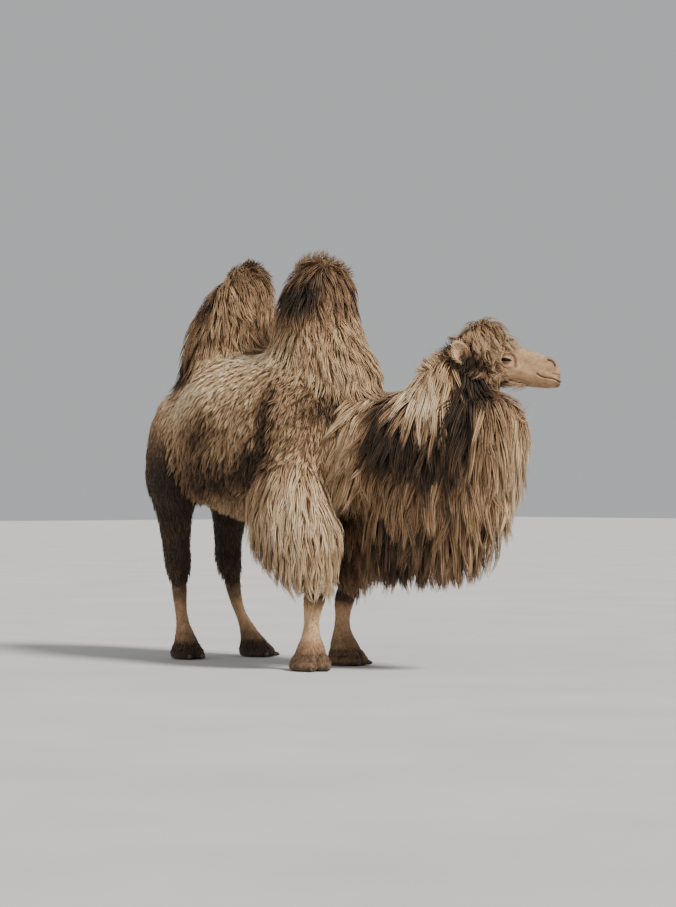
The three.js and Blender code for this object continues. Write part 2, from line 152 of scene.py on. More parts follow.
def finished(mesh_object):
    """The object's mesh with its modifiers applied; the object itself is removed."""
    graph = bpy.context.evaluated_depsgraph_get()
    mesh = bpy.data.meshes.new_from_object(mesh_object.evaluated_get(graph), depsgraph=graph)
    bpy.data.objects.remove(mesh_object)
    return mesh


def mesh_from(bm, name):
    """A mesh of this name from a bmesh, which is freed."""
    mesh = bpy.data.meshes.new(name)
    bm.to_mesh(mesh)
    bm.free()
    return mesh


def linked(name, mesh):
    piece = bpy.data.objects.new(name, mesh)
    bpy.context.scene.collection.objects.link(piece)
    return piece


def round_off(mesh):
    """Shades the faces as one rounded surface."""
    for face in mesh.polygons:
        face.use_smooth = True


def corner_vertices(mesh):
    corners = np.empty(len(mesh.loops), np.int32)
    mesh.loops.foreach_get("vertex_index", corners)
    return corners


def add_map(mesh, name, places, corners):
    """A UV map with each vertex's place on it."""
    layer = mesh.uv_layers.new(name=name)
    layer.uv.foreach_set("vector", places[corners].astype(np.float32).ravel())


def add_value(mesh, name, values):
    layer = mesh.attributes.new(name, "FLOAT", "POINT")
    layer.data.foreach_set("value", np.asarray(values, np.float32))


def merged_nodes(names):
    """One bmesh of copies of these nodes, each with its loose triangles joined."""
    bm = bmesh.new()
    for name in names:
        bm.from_mesh(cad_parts[name].data)
    bmesh.ops.remove_doubles(bm, verts=bm.verts, dist=SEAM)
    return bm


def remeshed(names, grid, rounds):
    """One smooth closed mesh round these nodes, with square faces of the given size."""
    form = linked("form", mesh_from(merged_nodes(names), "form"))
    remesh = form.modifiers.new("even_faces", "REMESH")
    remesh.mode = "VOXEL"
    remesh.voxel_size = grid
    smooth = form.modifiers.new("round_off", "SMOOTH")
    smooth.factor = 0.5
    smooth.iterations = rounds
    return finished(form)


def surface(mesh):
    return BVHTree.FromPolygons([v.co for v in mesh.vertices], [p.vertices for p in mesh.polygons])


def line_mark(x, z, route, width):
    """1 on a line drawn on the side of the head, falling to 0 about one width away from it."""
    p = np.stack([x, z], axis=1)
    nearest = np.full(len(p), 1e9)
    for start, end in zip(route, route[1:]):
        start, end = np.array(start), np.array(end)
        t = np.clip((p - start) @ (end - start) / ((end - start) @ (end - start)), 0, 1)
        nearest = np.minimum(nearest, np.linalg.norm(p - start - t[:, None] * (end - start), axis=1))
    return np.exp(-((nearest / width) ** 2))


# The bare face: rows of (ahead of the brow, top, bottom, half-width, how much narrower it is above).
FACE_STOPS = [
    (-0.090, 0.085, -0.135, 0.084, 0.06),
    (-0.045, 0.078, -0.134, 0.088, 0.08),
    (0.000, 0.071, -0.127, 0.086, 0.12),
    (0.040, 0.069, -0.118, 0.077, 0.18),
    (0.080, 0.070, -0.110, 0.065, 0.22),
    (0.125, 0.072, -0.107, 0.056, 0.22),
    (0.165, 0.069, -0.101, 0.052, 0.16),
    (0.200, 0.066, -0.094, 0.052, 0.08),
    (0.225, 0.061, -0.089, 0.052, 0.04),
    (0.246, 0.050, -0.083, 0.049, 0.00),
    (0.263, 0.034, -0.077, 0.043, -0.04),
    (0.278, 0.012, -0.071, 0.034, -0.06),
    (0.289, -0.012, -0.065, 0.023, 0.00),
    (0.297, -0.036, -0.054, 0.007, 0.00),
]

# Lines on the side of the head, each point ahead of and above the middle of the brow.
NOSTRIL = [(0.199, 0.050), (0.216, 0.052), (0.232, 0.044), (0.241, 0.030)]
MOUTH = [
    (0.165, -0.034), (0.186, -0.041), (0.212, -0.041), (0.241, -0.035), (0.267, -0.035), (0.300, -0.044),
]
LIP_EDGE = [(0.240, -0.013), (0.300, 0.000)]
ORBIT_FOLD = [(0.050, -0.034), (0.046, -0.014), (0.038, 0.006), (0.024, 0.017), (0.004, 0.020)]
LOWER_FOLD = [(-0.020, -0.056), (0.012, -0.057), (0.036, -0.047)]
LID_OPEN = (0.0215, 0.0085)  # half the length and half the height of the opening between the lids
LID_TILT = 0.16  # how much the front of the opening is higher than the back
EYE_RADIUS = 0.0200
FOLD_WIDTH = 0.006
EYE_SIDE = 0.03  # the marks round an eye lie at least this far from the middle of the head
NOSE_SIDE = 0.010  # and the nostrils this far
LIPS_FROM = 0.262  # the face's fur ends this far ahead of the brow

# ---------------------------------------------------------------- markings

BASE_TONE = {
    "trunk": 0.64, "hump_front": 0.58, "hump_rear": 0.53, "neck": 0.56, "mane": 0.50,
    "head": 0.62, "jaw": 0.60, "tail": 0.16,
    "upper_leg_front": 0.70, "upper_leg_hind": 0.62, "lower_leg_front": 0.46, "lower_leg_hind": 0.36,
    "foot_front": 0.30, "foot_hind": 0.12,
}

# Patches on both sides of the body, mostly painted light and shade: lighter on the back, saddle, rump,
# haunch and withers, which face the light, and darker on the belly, flank, thigh and shoulder, in the
# fold of the girth, behind the elbow and at the base of the rear hump, where shade falls; the darker
# caps and crests of the humps are darker hair with painted shade. Each has the middle and the reach,
# each along the body and upwards, and how much lighter (+) or darker (-) the hair is there.
BODY_TONE_AND_PAINTED_LIGHT = {
    "back": ((-0.42, 1.61), (0.27, 0.08), 0.26),
    "saddle": ((-0.09, 1.62), (0.22, 0.10), 0.32),
    "rump": ((-0.46, 1.45), (0.30, 0.10), 0.30),
    "haunch": ((-0.74, 1.38), (0.16, 0.10), 0.28),
    "withers": ((0.45, 1.47), (0.13, 0.13), 0.18),
    "girth": ((0.08, 1.29), (0.06, 0.17), -0.50),
    "elbow": ((0.00, 1.07), (0.11, 0.10), -0.44),
    "flank": ((-0.42, 1.22), (0.16, 0.10), -0.28),
    "belly": ((-0.28, 0.98), (0.30, 0.09), -0.46),
    "shoulder": ((0.38, 1.34), (0.11, 0.12), -0.42),
    "thigh": ((-0.62, 1.00), (0.22, 0.16), -0.30),
    "rear_hump_base": ((-0.76, 1.56), (0.12, 0.12), -0.52),
    "rear_hump_back": ((-0.69, 1.92), (0.07, 0.10), -0.34),
    "rear_hump_crest": ((-0.46, 2.13), (0.20, 0.07), -0.26),
    "front_hump_cap": ((0.10, 1.95), (0.15, 0.12), -0.62),
    "front_hump_crest": ((0.24, 2.10), (0.12, 0.07), 0.04),
    "front_hump_front": ((0.34, 1.80), (0.10, 0.16), 0.06),
    "sleeve_top": ((0.34, 0.90), (0.16, 0.12), 0.12),
    "sleeve_back": ((0.12, 0.62), (0.10, 0.16), -0.22),
}

# The same on the neck and mane, along the direction that the neck leans in: painted light on the nape
# and the front of the mane, and painted shade in the hollow of the neck, under the nape, behind the
# throat and at the foot of the mane, there with darker hair too.
NECK_TONE_AND_PAINTED_LIGHT = {
    "nape": ((0.55, 1.41), (0.13, 0.11), 0.40),
    "neck_base": ((0.20, 1.30), (0.10, 0.22), 0.16),
    "neck_hollow": ((0.38, 1.24), (0.09, 0.15), -0.86),
    "collar": ((0.57, 1.17), (0.18, 0.09), -0.86),
    "throat_back": ((0.740, 1.42), (0.058, 0.24), -0.92),
    "bib": ((1.00, 1.12), (0.12, 0.32), 0.26),
    "mane_foot": ((0.40, 0.66), (0.22, 0.19), -0.50),
    "mane_middle": ((0.66, 0.92), (0.12, 0.10), -0.08),
}
MOTTLE = (0.085, 0.055)  # how uneven the tone is over a hand's breadth, and over a finger's
NECK_YAW = math.radians(25)  # the way that the neck leans, from straight ahead to the left
NECK_ORIGIN = np.array([0.2715, -0.1657])  # where the neck leaves the trunk
NECK_PARTS = ("neck", "mane")


# Darkening down the legs: painted shade on the far foreleg, which stands in shadow, and on the hind
# legs below the belly, there with darker hair too. The part, how much lighter (+) or darker (-), the
# height where it begins and the height where it is full.
LEG_DARK_HAIR_AND_SHADE = [
    ("upper_leg_hind", -0.48, 1.38, 0.92),
    ("leg_front_left", -0.34, 0.28, 0.40),
    ("lower_leg_hind", -0.22, 0.34, 0.46),
]
KNEE_BAND = (-0.30, 0.41, 0.06)  # a darker band on the forelegs just below the sleeves: change, middle and reach
PALE_SHANK = 0.18

# Patches on the head, given as on the body but ahead of and above the middle of the brow: painted
# shadow under the ear and painted shade along the side of the nose, with darker wisps of the forelock
# and a darker corner of the jaw.
HEAD_PATCHES = {
    "under_ear": ((-0.190, -0.060), (0.090, 0.060), -0.90),
    "jaw_corner": ((0.030, -0.100), (0.030, 0.020), -0.16),
    "nose_side": ((0.100, 0.018), (0.060, 0.014), -0.10),
    "forelock": ((0.036, 0.072), (0.016, 0.012), -0.16),
}
TONE_LIMITS = (0.02, 0.98)


def base_tone(node):
    return next(tone for name, tone in BASE_TONE.items() if node.startswith(name))


def patches_at(places, patches):
    change = np.zeros(len(places))
    for middle_of, reach, amount in patches.values():
        far = (places - middle_of) / reach
        change += amount * np.exp(-(far ** 2).sum(1))
    return change


def tone_at(points, node):
    """How light the hair of a node is at each point, from 0 to 1, with the painted light and shade of the
    patches and legs.
    """
    found = np.full(len(points), base_tone(node))
    if node in ("head", "jaw"):
        return np.clip(found + head_tone(points), *TONE_LIMITS)
    if node.startswith(NECK_PARTS):
        # painted light and shade of the neck and mane
        along = (points[:, :2] - NECK_ORIGIN) @ (math.cos(NECK_YAW), math.sin(NECK_YAW))
        found += patches_at(np.stack([along, points[:, 2]], axis=1), NECK_TONE_AND_PAINTED_LIGHT)
    else:
        # painted light and shade of the body, with some darker hair on the humps
        found += patches_at(points[:, [0, 2]], BODY_TONE_AND_PAINTED_LIGHT)
    height = points[:, 2]
    # painted shade on the far foreleg, and darker hair with painted shade on the hind legs
    for part, change, start, full in LEG_DARK_HAIR_AND_SHADE:
        if part in node:
            found += change * ease(height, start, full)
    if node.startswith("lower_leg_front"):
        change, band, reach = KNEE_BAND
        found += change * np.exp(-(((height - band) / reach) ** 2))
    if node.startswith("lower_leg"):
        found += PALE_SHANK * ease(height, 0.12, 0.18) * ease(height, 0.36, 0.28)
    found += MOTTLE[0] * wander(points, 9, 31)[:, 0] + MOTTLE[1] * wander(points, 34, 32)[:, 0]
    return np.clip(found, *TONE_LIMITS)


def head_tone(points):
    """The patches of the head, with a darker crown, lips and nostrils, and painted shade in the fold of the
    orbit.
    """
    x, y, z = in_head(points).T
    # painted shadow under the ear and painted shade beside the nose among the head's patches
    change = patches_at(np.stack([x, z], axis=1), HEAD_PATCHES)
    face = ease(x, -0.04, 0.03)
    crown = ease(z, 0.06, 0.13) * ease(x, -0.06, -0.12)
    lips = ease(x, LIPS_FROM, 0.290) * ease(z, 0.03, 0.0)
    # painted shade in the crease of the orbit, in front of and above the eye
    fold = line_mark(x, z, ORBIT_FOLD, 0.007) * (np.abs(y) > EYE_SIDE)
    change -= 0.06 * face + 0.14 * crown + 0.20 * lips + 0.26 * fold
    return change - 0.14 * line_mark(x, z, NOSTRIL, 0.014)


# ---------------------------------------------------------------- materials

HAIR_COLOURS = [
    (0.00, (0.015, 0.009, 0.005)),
    (0.25, (0.070, 0.038, 0.020)),
    (0.50, (0.300, 0.172, 0.086)),
    (0.75, (0.590, 0.390, 0.215)),
    (1.00, (0.860, 0.680, 0.450)),
]


class Nodes:
    """Adds and links shader nodes in one material."""

    def __init__(self, name):
        self.material = bpy.data.materials.new(name)
        self.material.use_nodes = True
        self.tree = self.material.node_tree
        self.shader = self.tree.nodes["Principled BSDF"]

    def add(self, kind, **settings):
        node = self.tree.nodes.new(kind)
        for key, value in settings.items():
            setattr(node, key, value)
        return node

    def link(self, source, target):
        self.tree.links.new(source, target)

    def attribute(self, name):
        return self.add("ShaderNodeAttribute", attribute_name=name).outputs["Fac"]

    def maths(self, operation, first, second):
        node = self.add("ShaderNodeMath", operation=operation)
        for socket, value in zip(node.inputs, (first, second)):
            if isinstance(value, (int, float)):
                socket.default_value = value
            else:
                self.link(value, socket)
        return node.outputs[0]

    def noise(self, vector, scale, detail=3.0):
        node = self.add("ShaderNodeTexNoise")
        node.inputs["Scale"].default_value = scale
        node.inputs["Detail"].default_value = detail
        self.link(vector, node.inputs["Vector"])
        return node.outputs["Fac"]

    def ramp(self, value, stops):
        node = self.add("ShaderNodeValToRGB")
        elements = node.color_ramp.elements
        while len(elements) < len(stops):
            elements.new(0.5)
        for element, (place, colour) in zip(elements, stops):
            element.position = place
            element.color = (*colour, 1)
        self.link(value, node.inputs["Fac"])
        return node.outputs["Color"]

    def bump(self, height, strength, distance, under=None):
        node = self.add("ShaderNodeBump")
        node.inputs["Strength"].default_value = strength
        node.inputs["Distance"].default_value = distance
        self.link(height, node.inputs["Height"])
        if under is not None:
            self.link(under, node.inputs["Normal"])
        return node.outputs["Normal"]


def stretched(nodes, vector, scale):
    mapping = nodes.add("ShaderNodeMapping")
    mapping.inputs["Scale"].default_value = scale
    nodes.link(vector, mapping.inputs["Vector"])
    return mapping.outputs["Vector"]


def hair_material():
    """Locks of hair: darker at the root, bleached at the tip, the dark root also painting the shade deep
    in the coat; each lock a little different, with fine strands along it."""
    nodes = Nodes("camel_hair")
    strand = nodes.add("ShaderNodeUVMap", uv_map="Strand").outputs["UV"]
    streak = nodes.noise(stretched(nodes, strand, (6.0, 0.9, 1.0)), 1.0, 2.0)
    tone = nodes.attribute("tone")
    # the root darker than the tip: bleached tips, and painted shade deep in the coat
    along = nodes.maths("MULTIPLY", nodes.attribute("along"), 0.26)
    own = nodes.maths("MULTIPLY", nodes.maths("SUBTRACT", nodes.attribute("own"), 0.5), 0.26)
    fine = nodes.maths("MULTIPLY", nodes.maths("SUBTRACT", streak, 0.5), 0.34)
    light = nodes.maths("ADD", nodes.maths("ADD", tone, own), nodes.maths("ADD", along, fine))
    colour = nodes.ramp(nodes.maths("SUBTRACT", light, 0.10), HAIR_COLOURS)
    nodes.link(colour, nodes.shader.inputs["Base Color"])
    nodes.shader.inputs["Roughness"].default_value = 0.62
    nodes.shader.inputs["Specular IOR Level"].default_value = 0.26
    nodes.shader.inputs["Sheen Weight"].default_value = 0.07
    nodes.shader.inputs["Sheen Roughness"].default_value = 0.4
    nodes.shader.inputs["Sheen Tint"].default_value = (0.90, 0.70, 0.48, 1)
    nodes.link(nodes.bump(streak, 0.6, 0.002), nodes.shader.inputs["Normal"])
    return nodes.material


def skin_material():
    """Short fur lying flat: the same tones as the locks, with a fine nap and small creases."""
    nodes = Nodes("short_fur")
    place = nodes.add("ShaderNodeTexCoord").outputs["Object"]
    lie = nodes.add("ShaderNodeUVMap", uv_map="Lie").outputs["UV"]
    nap = nodes.noise(stretched(nodes, lie, (420.0, 60.0, 1.0)), 1.0, 3.0)
    mottle = nodes.noise(place, 38.0, 4.0)
    coarse = nodes.noise(place, 9.0, 2.0)
    tone = nodes.attribute("tone")
    vary = nodes.maths("MULTIPLY", nodes.maths("SUBTRACT", nap, 0.5), 0.34)
    patch = nodes.maths("MULTIPLY", nodes.maths("SUBTRACT", mottle, 0.5), 0.24)
    broad = nodes.maths("MULTIPLY", nodes.maths("SUBTRACT", coarse, 0.5), 0.10)
    light = nodes.maths("ADD", nodes.maths("ADD", tone, vary), nodes.maths("ADD", patch, broad))
    bare = nodes.attribute("bare")
    fur = nodes.ramp(light, HAIR_COLOURS)
    mix = nodes.add("ShaderNodeMix", data_type="RGBA")
    nodes.link(bare, mix.inputs["Factor"])
    nodes.link(fur, mix.inputs[6])
    mix.inputs[7].default_value = (0.035, 0.026, 0.021, 1)
    nodes.link(mix.outputs[2], nodes.shader.inputs["Base Color"])
    nodes.shader.inputs["Roughness"].default_value = 0.68
    nodes.shader.inputs["Specular IOR Level"].default_value = 0.25
    nodes.shader.inputs["Sheen Weight"].default_value = 0.12
    nodes.shader.inputs["Sheen Tint"].default_value = (0.95, 0.82, 0.66, 1)
    first = nodes.bump(nap, 0.75, 0.0018)
    nodes.link(nodes.bump(mottle, 0.35, 0.003, first), nodes.shader.inputs["Normal"])
    return nodes.material


def eye_material():
    """A wet dark brown eye with a wide dark pupil that lies level."""
    nodes = Nodes("wet_eye")
    sight = nodes.attribute("sight")
    colour = nodes.ramp(sight, [
        (0.00, (0.050, 0.030, 0.020)), (0.55, (0.030, 0.014, 0.007)), (0.78, (0.016, 0.007, 0.004)),
        (0.84, (0.003, 0.002, 0.002)), (1.00, (0.002, 0.002, 0.002)),
    ])
    nodes.link(colour, nodes.shader.inputs["Base Color"])
    nodes.shader.inputs["Roughness"].default_value = 0.10
    nodes.shader.inputs["Specular IOR Level"].default_value = 0.30
    return nodes.material


def nail_material():
    """Dull dark horn with fine growth rings."""
    nodes = Nodes("nail_horn")
    place = nodes.add("ShaderNodeTexCoord").outputs["Object"]
    rings = nodes.noise(stretched(nodes, place, (30.0, 30.0, 260.0)), 1.0, 3.0)
    colour = nodes.ramp(rings, [(0.2, (0.022, 0.017, 0.013)), (0.8, (0.085, 0.066, 0.050))])
    nodes.link(colour, nodes.shader.inputs["Base Color"])
    nodes.shader.inputs["Roughness"].default_value = 0.45
    nodes.link(nodes.bump(rings, 0.4, 0.001), nodes.shader.inputs["Normal"])
    return nodes.material


def floor_material():
    nodes = Nodes("pale_floor")
    place = nodes.add("ShaderNodeTexCoord").outputs["Object"]
    colour = nodes.ramp(nodes.noise(place, 1.2), [(0.3, (0.50, 0.49, 0.475)), (0.7, (0.56, 0.55, 0.535))])
    nodes.link(colour, nodes.shader.inputs["Base Color"])
    nodes.shader.inputs["Roughness"].default_value = 0.9
    return nodes.material


HAIR = hair_material()
SKIN = skin_material()
EYE = eye_material()
NAIL = nail_material()


# ---------------------------------------------------------------- the skin

def node_surface(names):
    """A surface of these nodes together, with the node that each of its faces belongs to."""
    points, faces, owners = [], [], []
    for index, name in enumerate(names):
        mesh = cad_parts[name].data
        start = len(points)
        points.extend(v.co.copy() for v in mesh.vertices)
        faces.extend([start + i for i in p.vertices] for p in mesh.polygons)
        owners.extend([index] * len(mesh.polygons))
    return BVHTree.FromPolygons(points, faces), owners


def owners_of(points):
    tree, owners = node_surface(FLESH)
    return np.array([owners[tree.find_nearest(Vector(p))[2]] for p in points])


def neighbours_of(mesh):
    edges = np.empty(len(mesh.edges) * 2, np.int32)
    mesh.edges.foreach_get("vertices", edges)
    return edges.reshape(-1, 2)


def spread_out(values, edges, rounds):
    """Each vertex's values, averaged with its neighbours' again and again."""
    count = np.bincount(edges.ravel(), minlength=len(values)).astype(float)[:, None]
    for _ in range(rounds):
        total = np.zeros_like(values)
        np.add.at(total, edges[:, 0], values[edges[:, 1]])
        np.add.at(total, edges[:, 1], values[edges[:, 0]])
        values = 0.4 * values + 0.6 * total / np.maximum(count, 1)
    return values


def points_of(mesh):
    return numbers(mesh.vertices, "co", 3)


def normals_of(mesh):
    return numbers(mesh.vertices, "normal", 3)


def set_points(mesh, points):
    mesh.vertices.foreach_set("co", points.astype(np.float32).ravel())
    mesh.update()


def wool_edge(z):
    """How far ahead of the brow the head's wool reaches, by height: further forward on the cheek."""
    cheek = 0.052 * ease(z, -0.045, -0.070) + 0.050 * ease(z, -0.075, -0.105)
    return -0.034 + cheek + 0.018 * ease(z, 0.02, 0.07)


def coat_depths(points, owners):
    """How far the skin lies inside the tips of the coat at each point."""
    depths = np.array([depth_of(n) for n in FLESH])[owners]
    x, _, z = in_head(points).T
    is_head = np.isin(owners, [FLESH.index("head"), FLESH.index("jaw")])
    depths = np.where(is_head, 0.001 + 0.030 * ease(x, wool_edge(z), wool_edge(z) - 0.055), depths)
    is_mane = owners == FLESH.index("mane")
    hem = ease(points[:, 2], 0.62, 0.50)
    return np.where(is_mane, depths - 0.030 * hem, depths)


def sink_skin(mesh):
    """Moves the skin in by the coat's depth, and lifts its hem inside the mane."""
    edges = neighbours_of(mesh)
    points = points_of(mesh)
    owners = owners_of(points)
    depths = spread_out(coat_depths(points, owners)[:, None], edges, 6)
    is_mane = spread_out((owners == FLESH.index("mane")).astype(float)[:, None], edges, 4)[:, 0]
    steps = 5
    for _ in range(steps):
        points = points_of(mesh)
        normals = normals_of(mesh)
        set_points(mesh, points - normals * depths / steps)
        points = points_of(mesh)
        smooth = spread_out(points, edges, 1)
        weight = np.clip(depths / 0.02, 0, 1) * 0.5
        set_points(mesh, points + (smooth - points) * weight)
    points = points_of(mesh)
    below = np.clip(MANE_HEM - points[:, 2], 0, None) * is_mane
    points[:, 2] += below * MANE_LIFT
    set_points(mesh, points)


def is_near(points, place, reach):
    return np.linalg.norm(points - np.array(place), axis=1) < reach


def divide(bm, chosen):
    """Splits each chosen face into four."""
    edges = list(dict.fromkeys(edge for face in chosen for edge in face.edges))
    bmesh.ops.subdivide_edges(bm, edges=edges, cuts=1, use_grid_fill=True)


def refine(mesh):
    """Smaller faces where the skin shows: the face, and the legs below the wool."""
    bm = bmesh.new()
    bm.from_mesh(mesh)
    shanks = [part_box(f"lower_leg_{leg}") for leg in LEGS]
    toes = [middle(nail) for nail in NAILS]

    def is_shank(p, h):
        return any(low[0] - 0.06 < p.x < high[0] + 0.06 and low[1] - 0.06 < p.y < high[1] + 0.06
                   and p.z < high[2] + 0.01 for low, high in shanks)

    def is_face(p, h):
        return h.x > -0.10 and (p - BROW).length < FACE_REACH and h.z > -0.16

    def is_bare_face(p, h):
        return is_face(p, h) and h.x > -0.045

    def is_toe(p, h):
        return p.z < 0.07 and any((p - toe).length < 0.055 for toe in toes)

    def from_eye(p):
        return min((p - eye_left).length, (p - eye_right).length)

    def is_eye(p, h):
        return from_eye(p) < 0.046

    def is_muzzle(p, h):
        return h.x > 0.175 and (p - BROW).length < 0.36

    def is_lid(p, h):
        return from_eye(p) < 0.031

    stages = [
        (is_shank, is_face),
        (is_toe, is_bare_face),
        (is_eye, is_muzzle),
        (is_lid,),
    ]
    for tests in stages:
        chosen = []
        for face in bm.faces:
            p = face.calc_center_median()
            h = Vector(in_head(np.array(p)))
            if any(test(p, h) for test in tests):
                chosen.append(face)
        divide(bm, chosen)
    bmesh.ops.recalc_face_normals(bm, faces=bm.faces)
    bm.to_mesh(mesh)
    bm.free()


def curve_through(stops, places):
    """Smooth values at the places, through rows of (place, value, value ...)."""
    rows = np.array(stops)
    slopes = np.gradient(rows[:, 1:], rows[:, 0], axis=0)
    index = np.clip(np.searchsorted(rows[:, 0], places) - 1, 0, len(rows) - 2)
    span = rows[index + 1, 0] - rows[index, 0]
    t = (np.clip(places, rows[0, 0], rows[-1, 0]) - rows[index, 0]) / span
    t, span = t[:, None], span[:, None]
    left, right = rows[index, 1:], rows[index + 1, 1:]
    ease_in = 3 * t ** 2 - 2 * t ** 3
    leave = slopes[index] * span * (t ** 3 - 2 * t ** 2 + t)
    arrive = slopes[index + 1] * span * (t ** 3 - t ** 2)
    return left * (1 - ease_in) + leave + right * ease_in + arrive


def face_form():
    """The bare face and jaw as one closed-sided form: a ring of skin at each stop."""
    bm = bmesh.new()
    bmesh.ops.create_grid(bm, x_segments=70, y_segments=64, size=1.0)
    flat = np.array([v.co[:2] for v in bm.verts])
    start, end = FACE_STOPS[0][0], FACE_STOPS[-1][0]
    ahead = start + (end - start) * np.sin((flat[:, 0] + 1) * math.pi / 4)
    top, bottom, half, narrow = curve_through(FACE_STOPS, ahead).T
    angle = flat[:, 1] * math.pi
    up, aside = np.sin(angle), np.cos(angle)
    squarer = 0.88
    aside = np.sign(aside) * np.abs(aside) ** squarer * (1 - narrow * up)
    height = (top + bottom) / 2 + (top - bottom) / 2 * np.sign(up) * np.abs(up) ** squarer
    for vertex, x, y, z in zip(bm.verts, ahead, aside * half, height):
        vertex.co = from_head(x, y, z)
    return mesh_from(bm, "face_form")


def fit_head(mesh):
    """Draws the skin of the face and muzzle onto the form of the bare face."""
    form = face_form()
    tree = surface(form)
    points = points_of(mesh)
    h = in_head(points)
    chosen = np.nonzero((h[:, 0] > -0.08) & is_near(points, BROW, FACE_REACH) & (h[:, 2] > -0.16))[0]
    for i in chosen:
        place, _, _, far = tree.find_nearest(Vector(points[i]))
        weight = float(ease(h[i, 0], -0.075, -0.030)) * float(ease(far, 0.045, 0.030))
        points[i] += (np.array(place) - points[i]) * weight
    set_points(mesh, points)
    bpy.data.meshes.remove(form)


def bulge(h, centre, reach, height):
    """A soft mound (or hollow) on both sides of the head."""
    x, y, z = h.T
    far = ((x - centre[0]) / reach[0]) ** 2 + ((np.abs(y) - centre[1]) / reach[1]) ** 2
    far += ((z - centre[2]) / reach[2]) ** 2
    return height * np.exp(-far)


# Mounds (+) and hollows (-) on both sides of the head: the middle (ahead of, aside from and above
# the middle of the brow), the reach each way, and the height.
EYE_MOUNDS = {
    "brow": ((-0.006, EYE_PLACE[0], 0.026), (0.036, 0.03, 0.012), 0.007),
    "under_eye": ((-0.006, EYE_PLACE[0], -0.040), (0.036, 0.03, 0.013), 0.005),
}
FACE_MOUNDS = {
    "cheekbone": ((0.070, 0.060, -0.045), (0.060, 0.03, 0.013), 0.004),
    "before_eye": ((0.085, 0.060, -0.004), (0.045, 0.03, 0.018), -0.004),
    "nose_side": ((0.150, 0.055, 0.030), (0.050, 0.03, 0.012), -0.003),
    "jaw_muscle": ((0.030, 0.070, -0.092), (0.060, 0.03, 0.022), 0.004),
    "nostril_wing": ((0.228, 0.036, 0.018), (0.024, 0.03, 0.016), 0.004),
    "upper_lip": ((0.215, 0.045, -0.022), (0.040, 0.03, 0.010), 0.003),
}


def shape_face(mesh):
    """Brows, cheekbones, nostrils, lips, and lids that wrap the eyes."""
    points = points_of(mesh)
    normals = normals_of(mesh)
    h = in_head(points)
    near = is_near(points, BROW, FACE_REACH) & (h[:, 0] > -0.16)
    x, y, z = h.T
    move = np.zeros(len(points))
    for mound in EYE_MOUNDS.values():
        move += bulge(h, *mound)
    move -= 0.0050 * line_mark(x, z, ORBIT_FOLD, FOLD_WIDTH) * (np.abs(y) > EYE_SIDE)
    move -= 0.0022 * line_mark(x, z, LOWER_FOLD, FOLD_WIDTH) * (np.abs(y) > EYE_SIDE)
    for mound in FACE_MOUNDS.values():
        move += bulge(h, *mound)
    nostril = line_mark(x, z, NOSTRIL, 0.0045) * (np.abs(y) > NOSE_SIDE)
    rim = line_mark(x, z, NOSTRIL, 0.0110) * (np.abs(y) > NOSE_SIDE)
    move += 0.0045 * rim - 0.0150 * nostril
    mouth = line_mark(x, z, MOUTH, 0.0038)
    lips = line_mark(x, z, MOUTH, 0.0100)
    move += 0.0028 * lips * ease(x, 0.15, 0.20) - 0.0095 * mouth
    move -= 0.0040 * line_mark(x, z, LIP_EDGE, 0.0035)
    move -= 0.0045 * ease(x, 0.240, 0.275) * np.exp(-((z + 0.020) / 0.009) ** 2)
    cleft = np.exp(-((y / 0.0035) ** 2)) * ease(x, 0.262, 0.272)
    cleft = cleft * ease(z, -0.030, -0.020) * ease(z, 0.025, 0.010)
    move -= 0.0065 * cleft
    points = points + normals * np.where(near, move, 0)[:, None]
    set_points(mesh, wrap_lids(points))


def eye_frame(points):
    """Distances from the nearer eye's middle: ahead, above and outwards, with its side."""
    h = in_head(points)
    return h[:, 0] - EYE_PLACE[1], h[:, 2] - EYE_PLACE[2], np.abs(h[:, 1]) - EYE_PLACE[0], np.sign(h[:, 1])


def lid_opening(ahead, above):
    """Below 1 inside the opening between the lids, and above 1 outside it."""
    above = above - LID_TILT * ahead + 0.0015
    tall = LID_OPEN[1] * np.where(above > 0, 0.75, 0.95) * (1 - 0.22 * ahead / LID_OPEN[0])
    return (ahead / LID_OPEN[0]) ** 2 + (above / tall) ** 2


def wrap_lids(points):
    """Lids that lie on the eyeball all round its opening, and sink behind it inside the opening."""
    ahead, above, out, side = eye_frame(points)
    from_centre = np.hypot(ahead, above)
    ball = np.sqrt(np.clip((EYE_RADIUS + 0.0022) ** 2 - from_centre ** 2, 0, None))
    opening = lid_opening(ahead, above)
    is_eye = (from_centre < 0.036) & (out > -0.035)
    rim = 0.0022 * np.exp(-((opening - 1.30) / 0.40) ** 2) * np.where(above > 0, 1.25, 0.8)
    blend = ease(from_centre, 0.034, 0.0175)
    wanted = out + (ball + rim - out) * blend
    inside = ease(opening, 1.08, 0.90)
    wanted = wanted * (1 - inside) + (ball - 0.0100) * inside
    shift = np.where(is_eye, (wanted - out) * side, 0)
    return points + shift[:, None] * np.array(HEAD_LEFT)


